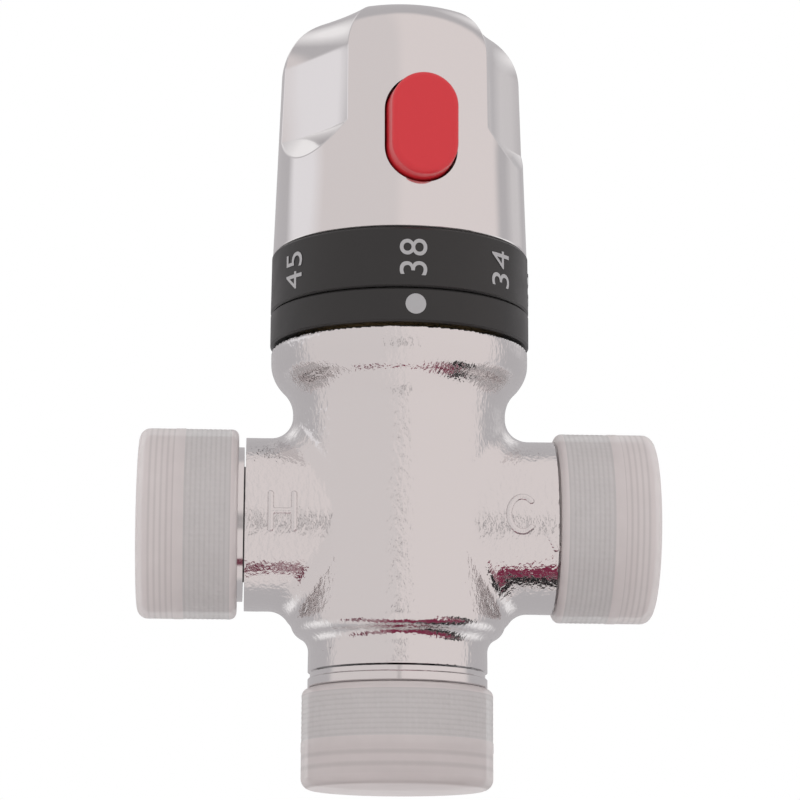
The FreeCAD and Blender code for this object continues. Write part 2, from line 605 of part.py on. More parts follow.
def make_casting():
    s = size
    body = new_body("valve_casting")
    undercut = s["outlet_thread"] + s["outlet_relief"]
    collar = undercut + s["collar_height"]
    groove = collar + s["collar_groove"]
    grooved = s["neck_radius"] - s["collar_groove_depth"]
    belly = [(s["neck_radius"], s["belly_start"]), (s["barrel_radius"], s["belly_end"])]
    flare = [(s["barrel_radius"], s["flare_start"]), (s["top_radius"], s["flare_end"])]
    outside = [(0, 0), (s["thread_radius"] - s["thread_chamfer"], 0),
               (s["thread_radius"], s["thread_chamfer"]),
               (s["thread_radius"], s["outlet_thread"]),
               (s["relief_radius"], s["outlet_thread"]), (s["relief_radius"], undercut),
               (s["neck_radius"], undercut), (s["neck_radius"], collar),
               (grooved, collar), (grooved, groove), (s["neck_radius"], groove), belly[0]]
    outside += s_curve(belly[0], belly[1])
    outside += [flare[0]]
    outside += s_curve(flare[0], flare[1])
    outside += [(s["top_radius"], s["casting_top"]), (0, s["casting_top"])]
    turn(body, "barrel", outside)

    # both inlet stubs are one turned form about the inlet axis
    thread_start = s["inlet_reach"] - s["inlet_thread"]
    neck_end = thread_start - s["inlet_relief"]
    lead = s["inlet_reach"] - s["thread_chamfer"]
    right = [(neck_end, s["stub_radius"]), (neck_end, s["relief_radius"]),
             (thread_start, s["relief_radius"]), (thread_start, s["thread_radius"]),
             (lead, s["thread_radius"]),
             (s["inlet_reach"], s["thread_radius"] - s["thread_chamfer"]), (s["inlet_reach"], 0)]
    left = [(-across, up) for across, up in reversed(right)]
    turn(body, "stubs", left + right, "H_Axis", (0, s["inlet_height"], 0))

    barrel = float(s["barrel_radius"])
    stub = float(s["stub_radius"])
    height = float(s["inlet_height"])

    def is_junction(edge):
        return all(abs(math.hypot(point.x, point.y) - barrel) < TOLERANCE
                   and abs(math.hypot(point.y, point.z - height) - stub) < TOLERANCE
                   for point in edge_points(edge))

    round_edges(body, "cast_fillets", is_junction, s["stub_fillet"])

    middle = s["inlet_height"]
    land = s["land_height"] / 2
    low_gallery = middle - land - s["gallery_height"]
    high_gallery = middle + land
    mouth = s["thread_chamfer"] / 2
    inside = [(0, 0), (s["outlet_bore"] + mouth, 0), (s["outlet_bore"], mouth),
              (s["outlet_bore"], s["shelf_height"]), (s["shelf_radius"], s["shelf_height"]),
              (s["shelf_radius"], s["cartridge_base"]),
              (s["chamber_radius"], s["cartridge_base"]),
              (s["chamber_radius"], low_gallery), (s["gallery_radius"], low_gallery),
              (s["gallery_radius"], middle - land), (s["chamber_radius"], middle - land),
              (s["chamber_radius"], high_gallery), (s["gallery_radius"], high_gallery),
              (s["gallery_radius"], high_gallery + s["gallery_height"]),
              (s["chamber_radius"], high_gallery + s["gallery_height"]),
              (s["chamber_radius"], s["bonnet_bore_base"]),
              (s["bonnet_bore"], s["bonnet_bore_base"] + s["thread_chamfer"]),
              (s["bonnet_bore"], s["casting_top"] - s["thread_chamfer"]),
              (s["bonnet_bore"] + s["thread_chamfer"], s["casting_top"]), (0, s["casting_top"])]
    turn(body, "chamber", inside, kind="Groove")

    for side, name in ((-1.0, "hot"), (1.0, "cold")):
        bore = [(s["inlet_reach"], s["inlet_bore"] + mouth),
                (s["inlet_reach"] - mouth, s["inlet_bore"]),
                (s["counterbore_end"], s["inlet_bore"]),
                (s["counterbore_end"], s["passage_radius"]),
                (s["passage_end"], s["passage_radius"]), (s["passage_end"], 0),
                (s["inlet_reach"], 0)]
        bore = [(across * side, up) for across, up in bore]
        turn(body, name + "_bore", bore, "H_Axis", (0, middle, 0), kind="Groove")

    # the hot port opens down into the lower gallery, the cold port up into the upper one
    inner = s["chamber_radius"] - s["port_sink"]
    for side, name, low in ((-1.0, "hot", low_gallery), (1.0, "cold", high_gallery)):
        sketch = new_sketch(body, name + "_port_outline", "XZ_Plane")
        ends = [inner * side, s["port_reach"] * side]
        draw(sketch, rectangle(ends[0], low, ends[1], low + s["gallery_height"]))
        extrude(body, name + "_port", sketch, s["port_width"], "Pocket", midplane=True)


# ---------------------------------------------------------------- cartridge inside the casting

def make_cartridge():
    s = size
    middle = s["inlet_height"]
    outer = s["chamber_radius"] - s["slip"]
    groove_floor = outer - s["o_ring_wire"] * 2 + s["slip"] - s["o_ring_space"] * 2
    lower = s["cartridge_base"] + s["groove_land"]
    centre = middle - s["groove_width"] / 2
    hot_lip = middle - s["shuttle_half"] - s["seat_gap"]
    guide_low = middle - s["guide_half"]
    guide_high = middle + s["guide_half"]
    window_floor = guide_low - s["window_height"] - s["window_sill"]
    body = new_body("cartridge_housing")
    turn(body, "turned", [
        (s["seat_bore"], s["cartridge_base"]), (outer, s["cartridge_base"]), (outer, lower),
        (groove_floor, lower), (groove_floor, lower + s["groove_width"]),
        (outer, lower + s["groove_width"]), (outer, centre), (groove_floor, centre),
        (groove_floor, centre + s["groove_width"]), (outer, centre + s["groove_width"]),
        (outer, s["cartridge_top"]), (s["window_bore"], s["cartridge_top"]),
        (s["window_bore"], guide_high), (s["guide_bore"], guide_high),
        (s["guide_bore"], guide_low), (s["window_bore"], guide_low),
        (s["window_bore"], window_floor), (s["seat_lip_foot"], window_floor),
        (s["seat_lip_radius"], hot_lip), (s["seat_bore"], hot_lip)])
    windows = []
    lows = ((guide_low - s["window_height"], "hot"), (guide_high, "cold"))
    for low, name in lows:
        sketch = new_sketch(body, name + "_window_outline", "XZ_Plane")
        half = s["window_width"] / 2
        draw(sketch, rectangle(-half, low, half, low + s["window_height"]))
        windows.append(extrude(body, name + "_window", sketch, outer + s["overrun"], "Pocket"))
    around(body, "windows", windows, s["window_count"])

    ring_radius = s["chamber_radius"] - s["o_ring_wire"] - s["o_ring_space"]
    o_ring("lower_o_ring", ring_radius, s["o_ring_wire"], lower + s["groove_width"] / 2)
    o_ring("middle_o_ring", ring_radius, s["o_ring_wire"], middle)

    cold_lip = middle + s["shuttle_half"] + s["seat_gap"]
    rim = s["cartridge_top"] - s["upper_seat_rim"]
    turned("upper_seat", [
        (s["seat_bore"], cold_lip), (s["seat_lip_radius"], cold_lip),
        (s["seat_lip_foot"], rim), (s["window_bore"] - s["slip"], rim),
        (s["window_bore"] - s["slip"], s["cartridge_top"]), (s["seat_bore"], s["cartridge_top"])])


def make_shuttle():
    s = size
    middle = s["inlet_height"]
    outer = s["guide_bore"] - s["plunger_gap"]
    half = s["shuttle_half"]
    groove = s["shuttle_groove"]
    wire = s["shuttle_ring_wire"]
    ring_radius = s["guide_bore"] - wire - s["o_ring_space"]
    floor = ring_radius - wire - s["o_ring_space"]
    inner = outer - s["shuttle_wall"]
    lip = outer - s["shuttle_edge"]
    web = s["web_half"]
    hub = s["hub_half"]
    bore = s["element_neck"] + s["slip"] / 2
    body = new_body("shuttle")
    turn(body, "turned", [
        (lip, -half), (outer, -half), (outer, -groove), (floor, -groove), (floor, groove),
        (outer, groove), (outer, half), (lip, half), (inner, half - s["shuttle_edge"]),
        (inner, web), (s["hub_radius"], web), (s["hub_radius"], hub), (bore, hub),
        (bore, -hub), (s["hub_radius"], -hub), (s["hub_radius"], -web),
        (inner, -web), (inner, s["shuttle_edge"] - half)])
    sketch = new_sketch(body, "flow_hole_outline", "XY_Plane")
    draw_circle(sketch, (inner + s["hub_radius"]) / 2, 0,
                (inner - s["hub_radius"]) / 2 - s["hole_wall"])
    hole = extrude(body, "flow_hole", sketch, web * 2 + s["overrun"], "Pocket", midplane=True)
    around(body, "flow_holes", [hole], s["shuttle_holes"])
    lift(body, middle)
    o_ring("shuttle_o_ring", ring_radius, wire, middle)


def make_wax_element():
    s = size
    middle = s["inlet_height"]
    hub_low = middle - s["hub_half"]
    hub_high = middle + s["hub_half"]
    bulb_low = hub_low - s["bulb_length"]
    thread_top = hub_high + s["element_thread"]
    guide = s["element_guide"]
    guide_top = hub_high + s["element_guide_top"]
    bore = s["piston_radius"] + s["running"]
    bore_floor = middle - s["piston_bore"]
    turned("wax_element", [
        (0, bulb_low), (s["bulb_radius"] - s["bulb_edge"], bulb_low),
        Arc(s["bulb_radius"], bulb_low + s["bulb_edge"], s["bulb_edge"]),
        (s["bulb_radius"], hub_low), (s["element_neck"], hub_low),
        (s["element_neck"], thread_top), (guide, thread_top), (guide, guide_top),
        (bore, guide_top), (bore, bore_floor), (0, bore_floor)])

    nut = new_body("element_nut")
    sketch = new_sketch(nut, "hexagon", "XY_Plane")
    across = s["hub_radius"] - s["slip"]
    draw(sketch, polygon(across, 6))
    draw_circle(sketch, 0, 0, s["element_neck"] + s["slip"] / 2)
    extrude(nut, "nut", sketch, s["element_nut_height"])
    lift(nut, hub_high)

    tip = s["adjuster_base"] + s["cup_floor"]
    foot = middle - s["piston_foot"]
    turned("element_piston", [
        (0, foot), (s["piston_radius"], foot), (s["piston_radius"], tip - s["piston_tip"]),
        (s["piston_radius"] - s["piston_tip"], tip), (0, tip)])

    # perforated disc that lifts the return spring off the shelf
    disc = new_body("spring_seat")
    shelf = s["shelf_height"]
    disc_top = shelf + s["seat_disc"]
    disc_radius = s["shelf_radius"] - s["slip"]
    turn(disc, "turned", [(0, shelf), (disc_radius, shelf), (disc_radius, disc_top),
                          (0, disc_top)])
    for name in ("inner", "outer"):
        sketch = new_sketch(disc, name + "_hole_outline", "XY_Plane", (0, 0, shelf))
        draw_circle(sketch, s["seat_%s_circle" % name], 0, s["seat_hole"])
        hole = extrude(disc, name + "_hole", sketch, s["seat_disc"] + s["overrun"], "Pocket",
                       reverse=True)
        around(disc, name + "_holes", [hole], s["seat_%s_holes" % name])

    bottom = disc_top + s["o_ring_space"]
    top = middle - s["web_half"] - s["o_ring_space"]
    cup = s["guide_bore"] - s["plunger_gap"] - s["shuttle_wall"]
    radius = cup - s["return_gap"] - s["return_wire"]
    coil = spring("return_spring", radius, s["return_wire"], s["return_turns"], top - bottom)
    lift(coil, bottom)


def polygon(flat_radius, sides):
    """A regular polygon with flats at flat_radius, one flat facing +X."""
    corner_radius = flat_radius / math.cos(math.pi / sides)
    angles = [math.pi * (2 * index + 1) / sides for index in range(sides)]
    return [(corner_radius * math.cos(angle) + 0.0, corner_radius * math.sin(angle) + 0.0)
            for angle in angles]


# ---------------------------------------------------------------- adjuster, spindle and bonnet

def make_adjuster():
    s = size
    base = s["adjuster_base"]
    clip_low = base + s["clip_rise"]
    clip_high = clip_low + s["clip_thickness"]
    clip_radius = s["adjuster_cavity"] + s["clip_depth"]
    threaded = s["spindle_thread"] + s["running"]
    body = new_body("adjuster_nut")
    turn(body, "turned", [
        (s["adjuster_cavity"], base), (s["adjuster_radius"], base),
        (s["adjuster_radius"], s["adjuster_top"]), (threaded, s["adjuster_top"]),
        (threaded, s["adjuster_shoulder"]), (s["adjuster_cavity"], s["adjuster_shoulder"]),
        (s["adjuster_cavity"], clip_high), (clip_radius, clip_high), (clip_radius, clip_low),
        (s["adjuster_cavity"], clip_low)])
    sketch = new_sketch(body, "lug_outline", "XY_Plane", (0, 0, base))
    half = s["lug_width"] / 2
    inner = s["adjuster_radius"] - s["pad_sink"]
    draw(sketch, rectangle(inner, -half, s["lug_radius"], half))
    lug = extrude(body, "lug", sketch, s["adjuster_top"] - base)
    around(body, "lugs", [lug], 2)

    gap = s["clip_gap"]
    turned("adjuster_clip", rectangle(s["adjuster_cavity"] - s["clip_stand"], clip_low + gap,
                                      clip_radius - gap, clip_high - gap))

    coil = s["adjuster_cavity"] - s["overload_wire"] - s["overload_gap"]
    flange_top = clip_high + s["cup_flange"]
    boss = coil - s["overload_wire"] - s["edge_break"]
    boss_top = flange_top + s["cup_boss"]
    socket = s["piston_radius"] + s["running"]
    floor = base + s["cup_floor"]
    rim = s["adjuster_cavity"] - s["slip"]
    turned("overload_cup", [
        (0, floor), (socket, floor), (socket, clip_high), (rim, clip_high), (rim, flange_top),
        (boss, flange_top), (boss, boss_top), (0, boss_top)])
    low = flange_top + s["o_ring_space"]
    height = s["adjuster_shoulder"] - s["o_ring_space"] - low
    lift(spring("overload_spring", coil, s["overload_wire"], s["overload_turns"], height), low)


def make_spindle():
    s = size
    thread = s["spindle_thread"]
    collar_top = s["cavity_top"] - s["slip"]
    collar_low = collar_top - s["collar_thickness"]
    floor = s["stem_radius"] + s["running"] - s["stem_o_ring"] * 2 - s["o_ring_space"] * 2
    clip_low = s["bonnet_top"] + s["slip"]
    clip_high = clip_low + s["spindle_clip_thickness"]
    clip_groove = s["spline_radius"] - s["spindle_clip_depth"]
    spline_low = clip_high + s["spline_rise"]
    lead = s["spindle_lead"]
    hole = s["screw_radius"] + s["running"] / 2
    hole_floor = s["spindle_top"] - s["screw_hole"]
    path = [(0, s["spindle_base"]), (thread - lead, s["spindle_base"]),
            (thread, s["spindle_base"] + lead), (thread, collar_low),
            (s["collar_radius"], collar_low), (s["collar_radius"], collar_top),
            (s["stem_radius"], collar_top)]
    lower_ring = s["cavity_top"] + s["stem_ring_rise"]
    heights = [lower_ring, lower_ring + s["stem_ring_pitch"]]
    half = s["stem_groove"] / 2
    for height in heights:
        path += [(s["stem_radius"], height - half), (floor, height - half),
                 (floor, height + half), (s["stem_radius"], height + half)]
    path += [(s["stem_radius"], clip_low), (clip_groove, clip_low), (clip_groove, clip_high),
             (s["spline_radius"], clip_high),
             (s["spline_radius"], s["spindle_top"] - s["edge_break"]),
             (s["spline_radius"] - s["edge_break"], s["spindle_top"]),
             (hole, s["spindle_top"]), (hole, hole_floor), (0, hole_floor - s["screw_radius"])]
    body = new_body("spindle")
    turn(body, "turned", path)
    sketch = new_sketch(body, "spline_outline", "XY_Plane", (0, 0, spline_low))
    depth = s["spline_depth"]
    outer = s["spline_radius"] + depth
    draw(sketch, [(s["spline_radius"] - depth, 0), (outer, -depth), (outer, depth)])
    groove = extrude(body, "spline", sketch, s["spindle_top"] - spline_low + s["overrun"],
                     "Pocket", reverse=True)
    around(body, "splines", [groove], s["spline_count"])

    ring_radius = s["stem_radius"] + s["running"] - s["stem_o_ring"] - s["o_ring_space"]
    for name, height in zip(("lower", "upper"), heights):
        o_ring("spindle_o_ring_" + name, ring_radius, s["stem_o_ring"], height)

    clip = new_body("spindle_clip")
    reach = s["stem_radius"] + s["spindle_clip_reach"]
    gap = s["clip_gap"]
    turn(clip, "turned", rectangle(clip_groove + s["seam"], clip_low + gap, reach,
                                   clip_high - gap))
    sketch = new_sketch(clip, "mouth_outline", "XY_Plane", (0, 0, clip_low))
    half = s["spindle_clip_mouth"]
    draw(sketch, rectangle(0, -half, reach + s["overrun"], half))
    extrude(clip, "mouth", sketch, s["spindle_clip_thickness"] + s["overrun"], "Pocket",
            reverse=True)


def make_bonnet():
    s = size
    nose = s["chamber_radius"] - s["slip"]
    floor = nose - s["o_ring_wire"] * 2 + s["slip"] - s["o_ring_space"] * 2
    groove_low = s["cartridge_top"] + s["bonnet_groove_rise"]
    groove_high = groove_low + s["groove_width"]
    thread = s["bonnet_bore"] - s["running"]
    lead_low = s["bonnet_bore_base"] + s["thread_chamfer"] + s["free_gap"] - s["edge_break"]
    flange_low = s["casting_top"]
    flange_top = flange_low + s["flange_thickness"]
    hexagon_top = flange_top + s["hexagon_height"]
    relief = flange_low - s["bonnet_relief"]
    relief_radius = thread - s["bonnet_relief_depth"]
    neck = s["bonnet_neck"]
    bore = s["stem_radius"] + s["running"]
    body = new_body("bonnet")
    turn(body, "turned", [
        (s["cavity_radius"], s["cartridge_top"]), (nose, s["cartridge_top"]),
        (nose, groove_low), (floor, groove_low), (floor, groove_high), (nose, groove_high),
        (nose, lead_low), (thread, lead_low + s["bonnet_lead"]), (thread, relief),
        (relief_radius, relief), (relief_radius, flange_low), (s["flange_radius"], flange_low),
        (s["flange_radius"], flange_top), (neck, flange_top),
        (neck, s["bonnet_top"] - s["edge_break"]), (neck - s["edge_break"], s["bonnet_top"]),
        (bore, s["bonnet_top"]), (bore, s["cavity_top"]), (s["cavity_radius"], s["cavity_top"])])

    sketch = new_sketch(body, "hexagon", "XY_Plane", (0, 0, flange_top))
    draw(sketch, polygon(s["hexagon_flats"] / 2, 6))
    draw_circle(sketch, 0, 0, neck - s["pad_sink"])
    extrude(body, "hexagon_pad", sketch, s["hexagon_height"])

    sketch = new_sketch(body, "flat_outline", "XY_Plane", (0, 0, hexagon_top))
    edge = neck + s["overrun"]
    draw(sketch, rectangle(s["neck_flats"] / 2, -edge, edge, edge))
    flat = extrude(body, "flat", sketch, s["bonnet_top"] - hexagon_top + s["overrun"], "Pocket",
                   reverse=True)
    around(body, "flats", [flat], 2)

    sketch = new_sketch(body, "slot_outline", "XY_Plane", (0, 0, s["cartridge_top"]))
    half = s["lug_width"] / 2 + s["slip"]
    draw(sketch, rectangle(s["cavity_radius"] - s["overrun"], -half,
                           s["lug_radius"] + s["free_gap"], half))
    slot_top = s["adjuster_top"] + s["lug_travel"]
    slot = extrude(body, "slot", sketch, slot_top - s["cartridge_top"], "Pocket", reverse=True)
    around(body, "slots", [slot], 2)

    ring_radius = s["chamber_radius"] - s["o_ring_wire"] - s["o_ring_space"]
    o_ring("bonnet_o_ring", ring_radius, s["o_ring_wire"], groove_low + s["groove_width"] / 2)
    return hexagon_top


def make_stop_ring(hexagon_top):
    s = size
    body = new_body("stop_ring")
    bore = s["bonnet_neck"] + s["slip"]
    sketch = new_sketch(body, "ring_outline", "XY_Plane")
    draw_circle(sketch, 0, 0, s["stop_radius"])
    flat = s["neck_flats"] / 2 + s["slip"] / 2
    reach = math.sqrt(float(bore) ** 2 - float(flat) ** 2)
    draw(sketch, [Arc(flat, -reach, bore), (flat, reach), Arc(-flat, reach, bore),
                  (-flat, -reach)])
    extrude(body, "ring", sketch, s["stop_thickness"])

    sketch = new_sketch(body, "lug_outline", "XY_Plane")
    middle = float(s["handle_turned"] + s["turn_middle"] + s["finger_angle"]) + 180.0
    draw(sketch, ring_sector(s["stop_radius"] - s["pad_sink"], s["stop_lug_radius"], middle,
                             float(s["stop_lug_angle"])))
    extrude(body, "lug", sketch, s["stop_thickness"])
    lift(body, hexagon_top + s["seam"])


# ---------------------------------------------------------------- rings and handle

def make_rings():
    s = size
    rim = s["flange_radius"] + s["slip"]
    web_low = s["casting_top"] + s["flange_thickness"] + s["seam"]
    web_high = web_low + s["ring_web"]
    bore = s["skirt_radius"] - s["ring_step"]
    edge = s["ring_edge"]
    body = new_body("index_ring")
    turn(body, "turned", [
        (rim, s["index_base"]), (s["ring_radius"] - edge, s["index_base"]),
        (s["ring_radius"], s["index_base"] + edge), (s["ring_radius"], s["index_top"] - edge),
        (s["ring_radius"] - edge, s["index_top"]), (bore, s["index_top"]), (bore, web_high),
        (s["stop_radius"], web_high), (s["stop_radius"], web_low), (rim, web_low)])
    sketch = new_sketch(body, "key_outline", "XY_Plane", (0, 0, web_low))
    draw(sketch, polygon(s["hexagon_flats"] / 2 + s["slip"], 6))
    extrude(body, "key", sketch, s["ring_web"] + s["overrun"], "Pocket", reverse=True)

    bore = s["skirt_radius"] + s["seam"]
    turned("number_ring", [
        (bore, s["number_base"]), (s["ring_radius"] - edge, s["number_base"]),
        (s["ring_radius"], s["number_base"] + edge),
        (s["ring_radius"] - s["ring_draft"], s["number_top"] - edge),
        (s["ring_radius"] - edge, s["number_top"]), (bore, s["number_top"])])


def handle_arcs(side_low, side_top, edge, top, crown):
    """Where the rounded edge leaves the side line and meets the crown, both tangent."""
    start = Vector(float(side_low[0]), float(side_low[1]), 0)
    along = Vector(float(side_top[0]), float(side_top[1]), 0) - start
    along.normalize()
    inward = Vector(-along.y, along.x, 0)
    crown_centre = Vector(0, top - crown, 0)
    base = start + inward * edge
    offset = base - crown_centre
    reach = crown - edge
    shift = -offset.dot(along) + math.sqrt(offset.dot(along) ** 2 - offset.dot(offset) + reach ** 2)
    centre = base + along * shift
    leave = start + along * shift
    outward = centre - crown_centre
    outward.normalize()
    meet = crown_centre + outward * crown
    return leave, meet


def make_handle_shell():
    s = size
    shoulder = s["number_top"] + s["seam"]
    side_low = (s["handle_base_radius"], shoulder + s["ring_edge"])
    side_top = (s["handle_side_radius"], s["handle_side_top"])
    edge, top, crown = [float(s[name]) for name in ("handle_edge", "handle_top", "crown_radius")]
    leave, meet = handle_arcs(side_low, side_top, edge, top, crown)
    slot = s["plug_radius"] + s["slip"]
    seat_drop = crown - math.sqrt(crown ** 2 - float(slot) ** 2)
    head = s["screw_head"] + s["screw_head_gap"]
    hole = s["screw_radius"] + s["slip"]
    corner_radius = s["ceiling_radius"]
    body = new_body("handle_shell")
    turn(body, "turned", [
        (s["handle_bore"], s["skirt_base"]), (s["skirt_radius"], s["skirt_base"]),
        (s["skirt_radius"], shoulder), (s["handle_base_radius"] - s["ring_edge"], shoulder),
        side_low, (leave.x, leave.y), Arc(meet.x, meet.y, edge),
        Arc(slot, s["handle_top"] - seat_drop, crown), (slot, s["plug_seat"]),
        (head, s["plug_seat"]), (head, s["screw_seat"]), (hole, s["screw_seat"]),
        (hole, s["boss_base"]), (s["boss_radius"], s["boss_base"]),
        (s["boss_radius"], s["ceiling"]), (s["handle_bore"] - corner_radius, s["ceiling"]),
        Arc(s["handle_bore"], s["ceiling"] - corner_radius, -corner_radius)])

    # three finger recesses, cut by sunk panels with sloping lower corners
    cut_recesses(body)

    sketch = new_sketch(body, "button_slot_outline", "XZ_Plane",
                        (0, s["button_height"], s["handle_bore"] / 2))
    gap = s["button_gap"]
    draw(sketch, oblong(s["button_width"] / 2 + gap, s["button_length"] / 2 + gap))
    extrude(body, "button_slot", sketch, s["handle_base_radius"], "Pocket", reverse=True)
    bind(body, "Placement.Rotation.Angle", s["handle_turned"])


def cut_recesses(body):
    """Three finger recesses, hollowed about upright axes outside the handle."""
    s = size
    floor = s["recess_floor"]
    foot = s["recess_foot"]
    turn_in = s["recess_turn"]
    clear = s["ring_radius"] + s["recess_clear"]
    above = s["handle_top"] + s["recess_clear"]
    below = foot - s["recess_ramp"] * 2
    leaned = floor - s["recess_lean"]
    axis = floor + s["recess_hollow"]
    sketch = new_sketch(body, "recess_outline", "YZ_Plane")
    draw(sketch, [
        (floor + s["recess_ramp_depth"] * 2, below), (floor, foot),
        (leaned, s["recess_shoulder"]),
        Arc(leaned - turn_in, s["recess_shoulder"] + turn_in, turn_in),
        (leaned - turn_in, above), (clear, above), (clear, below)])
    low = Vector(float(axis), 0, 0)
    line = sketch.addGeometry(Part.LineSegment(low, low + Vector(0, 10, 0)), True)
    index = sketch.addConstraint(Sketcher.Constraint("DistanceX", -1, 1, line, 1, float(axis)))
    sketch.setExpression("Constraints[%d]" % index, axis.formula)
    sketch.addConstraint([Sketcher.Constraint("Vertical", line),
                          Sketcher.Constraint("PointOnObject", line, 1, -1),
                          Sketcher.Constraint("DistanceY", line, 1, line, 2, 10.0)])
    recess = body.newObject("PartDesign::Groove", "recess")
    recess.Profile = sketch
    recess.ReferenceAxis = (sketch, ["Axis0"])
    bind(recess, "Angle", s["recess_sweep"])
    recess.Midplane = True
    body.Tip = recess
    around(body, "recesses", [recess], s["recess_count"])
    inner = float(floor - turn_in / 2)
    lowest = float(s["number_top"] + s["recess_clear"])

    def is_recess_edge(edge):
        points = edge_points(edge)
        heights = [point.z for point in points]
        level = max(heights) - min(heights) < TOLERANCE * 5
        seam = all(abs(point.y) < TOLERANCE for point in points)
        outside = all(math.hypot(point.x, point.y) > inner and point.z > lowest
                      for point in points)
        return outside and not level and not seam

    round_edges(body, "recess_edges", is_recess_edge, s["recess_edge"])


def make_handle_inside():
    s = size
    low = s["bonnet_top"] + s["insert_gap"]
    disc_low = s["number_top"] + s["insert_rise"]
    disc_top = disc_low + s["insert_disc"]
    hub = s["insert_hub"]
    sink = s["pad_sink"]
    top = s["boss_base"]
    bore = s["spline_radius"] + s["slip"] / 2
    rim = s["handle_bore"] - s["slip"]
    body = new_body("handle_insert")
    turn(body, "turned", [
        (bore, low), (hub, low), (hub, disc_low), (rim, disc_low), (rim, disc_top),
        (hub, disc_top), (hub, top), (bore, top)])
    for name, side in (("left", -1.0), ("right", 1.0)):
        sketch = new_sketch(body, name + "_rib_outline", "XZ_Plane")
        draw(sketch, [(side * (hub - sink), disc_top - sink), (side * rim, disc_top - sink),
                      (side * rim, disc_top + s["rib_foot"]),
                      (side * (hub - sink), top - s["rib_drop"])])
        extrude(body, name + "_rib", sketch, s["rib_width"], midplane=True)
    # finger that meets the stop lug at both ends of the turn
    stop_low = s["number_base"] + s["free_gap"]
    sketch = new_sketch(body, "finger_outline", "XY_Plane", (0, 0, stop_low))
    draw(sketch, ring_sector(s["stop_radius"] + s["free_gap"], s["stop_lug_radius"],
                             float(s["finger_angle"]), float(s["finger_width"])))
    extrude(body, "finger", sketch, disc_low - stop_low + sink)
    # opening in the disc for the button's tongue, and a spigot for its spring
    sketch = new_sketch(body, "tongue_opening_outline", "XY_Plane", (0, 0, disc_low))
    wide = s["tongue_width"] / 2 + s["tongue_side"]
    draw(sketch, rectangle(-wide, -rim - s["overrun"], wide, -hub - s["free_gap"]))
    extrude(body, "tongue_opening", sketch, s["insert_disc"] + s["overrun"], "Pocket",
            reverse=True)
    sketch = new_sketch(body, "spigot_outline", "XZ_Plane", (0, s["button_height"], hub - sink))
    draw_circle(sketch, 0, 0, s["spigot_radius"])
    extrude(body, "spigot", sketch, s["spigot_length"])
    bind(body, "Placement.Rotation.Angle", s["handle_turned"])

    screw_end = s["spindle_top"] - s["screw_depth"]
    head = s["screw_head"]
    head_top = s["screw_seat"] + s["screw_head_height"]
    head_edge = s["screw_head_edge"]
    body = turned("handle_screw", [
        (0, screw_end), (s["screw_radius"], screw_end), (s["screw_radius"], s["screw_seat"]),
        (head, s["screw_seat"]), (head, head_top - head_edge),
        Arc(head - head_edge, head_top, head_edge), (0, head_top)])
    slots = {"first": (s["driver_reach"], s["driver_half"]),
             "second": (s["driver_half"], s["driver_reach"])}
    for name, (wide, deep) in slots.items():
        sketch = new_sketch(body, name + "_slot_outline", "XY_Plane",
                            (0, 0, head_top - s["driver_depth"]))
        draw(sketch, rectangle(-wide, -deep, wide, deep))
        extrude(body, name + "_slot", sketch, s["driver_depth"] + s["overrun"], "Pocket",
                reverse=True)

    crown = float(s["crown_radius"])
    plug = s["plug_radius"]
    drop = crown - math.sqrt(crown ** 2 - float(plug) ** 2)
    stem = head + s["screw_head_gap"] - s["slip"]
    stem_end = s["plug_seat"] - s["plug_stem"]
    turned("top_plug", [
        (0, stem_end), (stem, stem_end), (stem, s["plug_seat"]),
        (plug, s["plug_seat"]), (plug, s["handle_top"] - drop),
        Arc(0, s["handle_top"], crown)])


def make_button():
    """The lock button slides in its slot towards the valve axis, in front of its spring."""
    s = size
    height = s["button_height"]
    half_width = s["button_width"] / 2
    half_length = s["button_length"] / 2
    margin = s["button_margin"]
    back = s["button_back"]
    front = back + s["button_flange"]
    body = new_body("button")
    sketch = new_sketch(body, "flange_outline", "XZ_Plane", (0, height, back))
    draw(sketch, oblong(half_width + margin, half_length + margin))
    extrude(body, "flange", sketch, s["button_flange"])
    sketch = new_sketch(body, "pad_outline", "XZ_Plane", (0, height, front - s["pad_sink"]))
    draw(sketch, oblong(half_width, half_length))
    pad = extrude(body, "pad", sketch, s["button_reach"] - front + s["pad_sink"])
    taper = math.degrees(math.atan2(float(s["button_draft"]),
                                    float(s["button_reach"]) - float(front)))
    pad.TaperAngle = -taper
    reach = float(s["button_reach"])

    def is_face_edge(edge):
        return all(abs(point.y + reach) < TOLERANCE for point in edge_points(edge))

    round_edges(body, "face_rounding", is_face_edge, s["button_edge"])
    tip = s["number_base"] + s["free_gap"] + s["stop_thickness"] + s["tongue_clearance"]
    sketch = new_sketch(body, "tongue_outline", "XZ_Plane", (0, 0, back))
    half = s["tongue_width"] / 2
    draw(sketch, rectangle(-half, tip, half, height - half_length + s["overrun"]))
    extrude(body, "tongue", sketch, s["button_flange"])
    sketch = new_sketch(body, "spring_pocket_outline", "XZ_Plane", (0, height, back))
    draw_circle(sketch, 0, 0, s["button_pocket"])
    extrude(body, "spring_pocket", sketch, s["button_pocket_depth"], "Pocket", reverse=True)
    bind(body, "Placement.Rotation.Angle", s["handle_turned"])

    start = s["insert_hub"] + s["slip"]
    end = back + s["button_pocket_depth"] - s["slip"]
    coil = spring("button_spring", s["button_coil"], s["button_wire"], s["button_turns"],
                  end - start)
    turned_to = math.radians(float(s["handle_turned"]))
    outward = Vector(math.sin(turned_to), -math.cos(turned_to), 0)
    coil.Placement = FreeCAD.Placement(outward * float(start) + Vector(0, 0, float(height)),
                                       FreeCAD.Rotation(Vector(0, 0, 1), outward))


# ---------------------------------------------------------------- caps and check valves

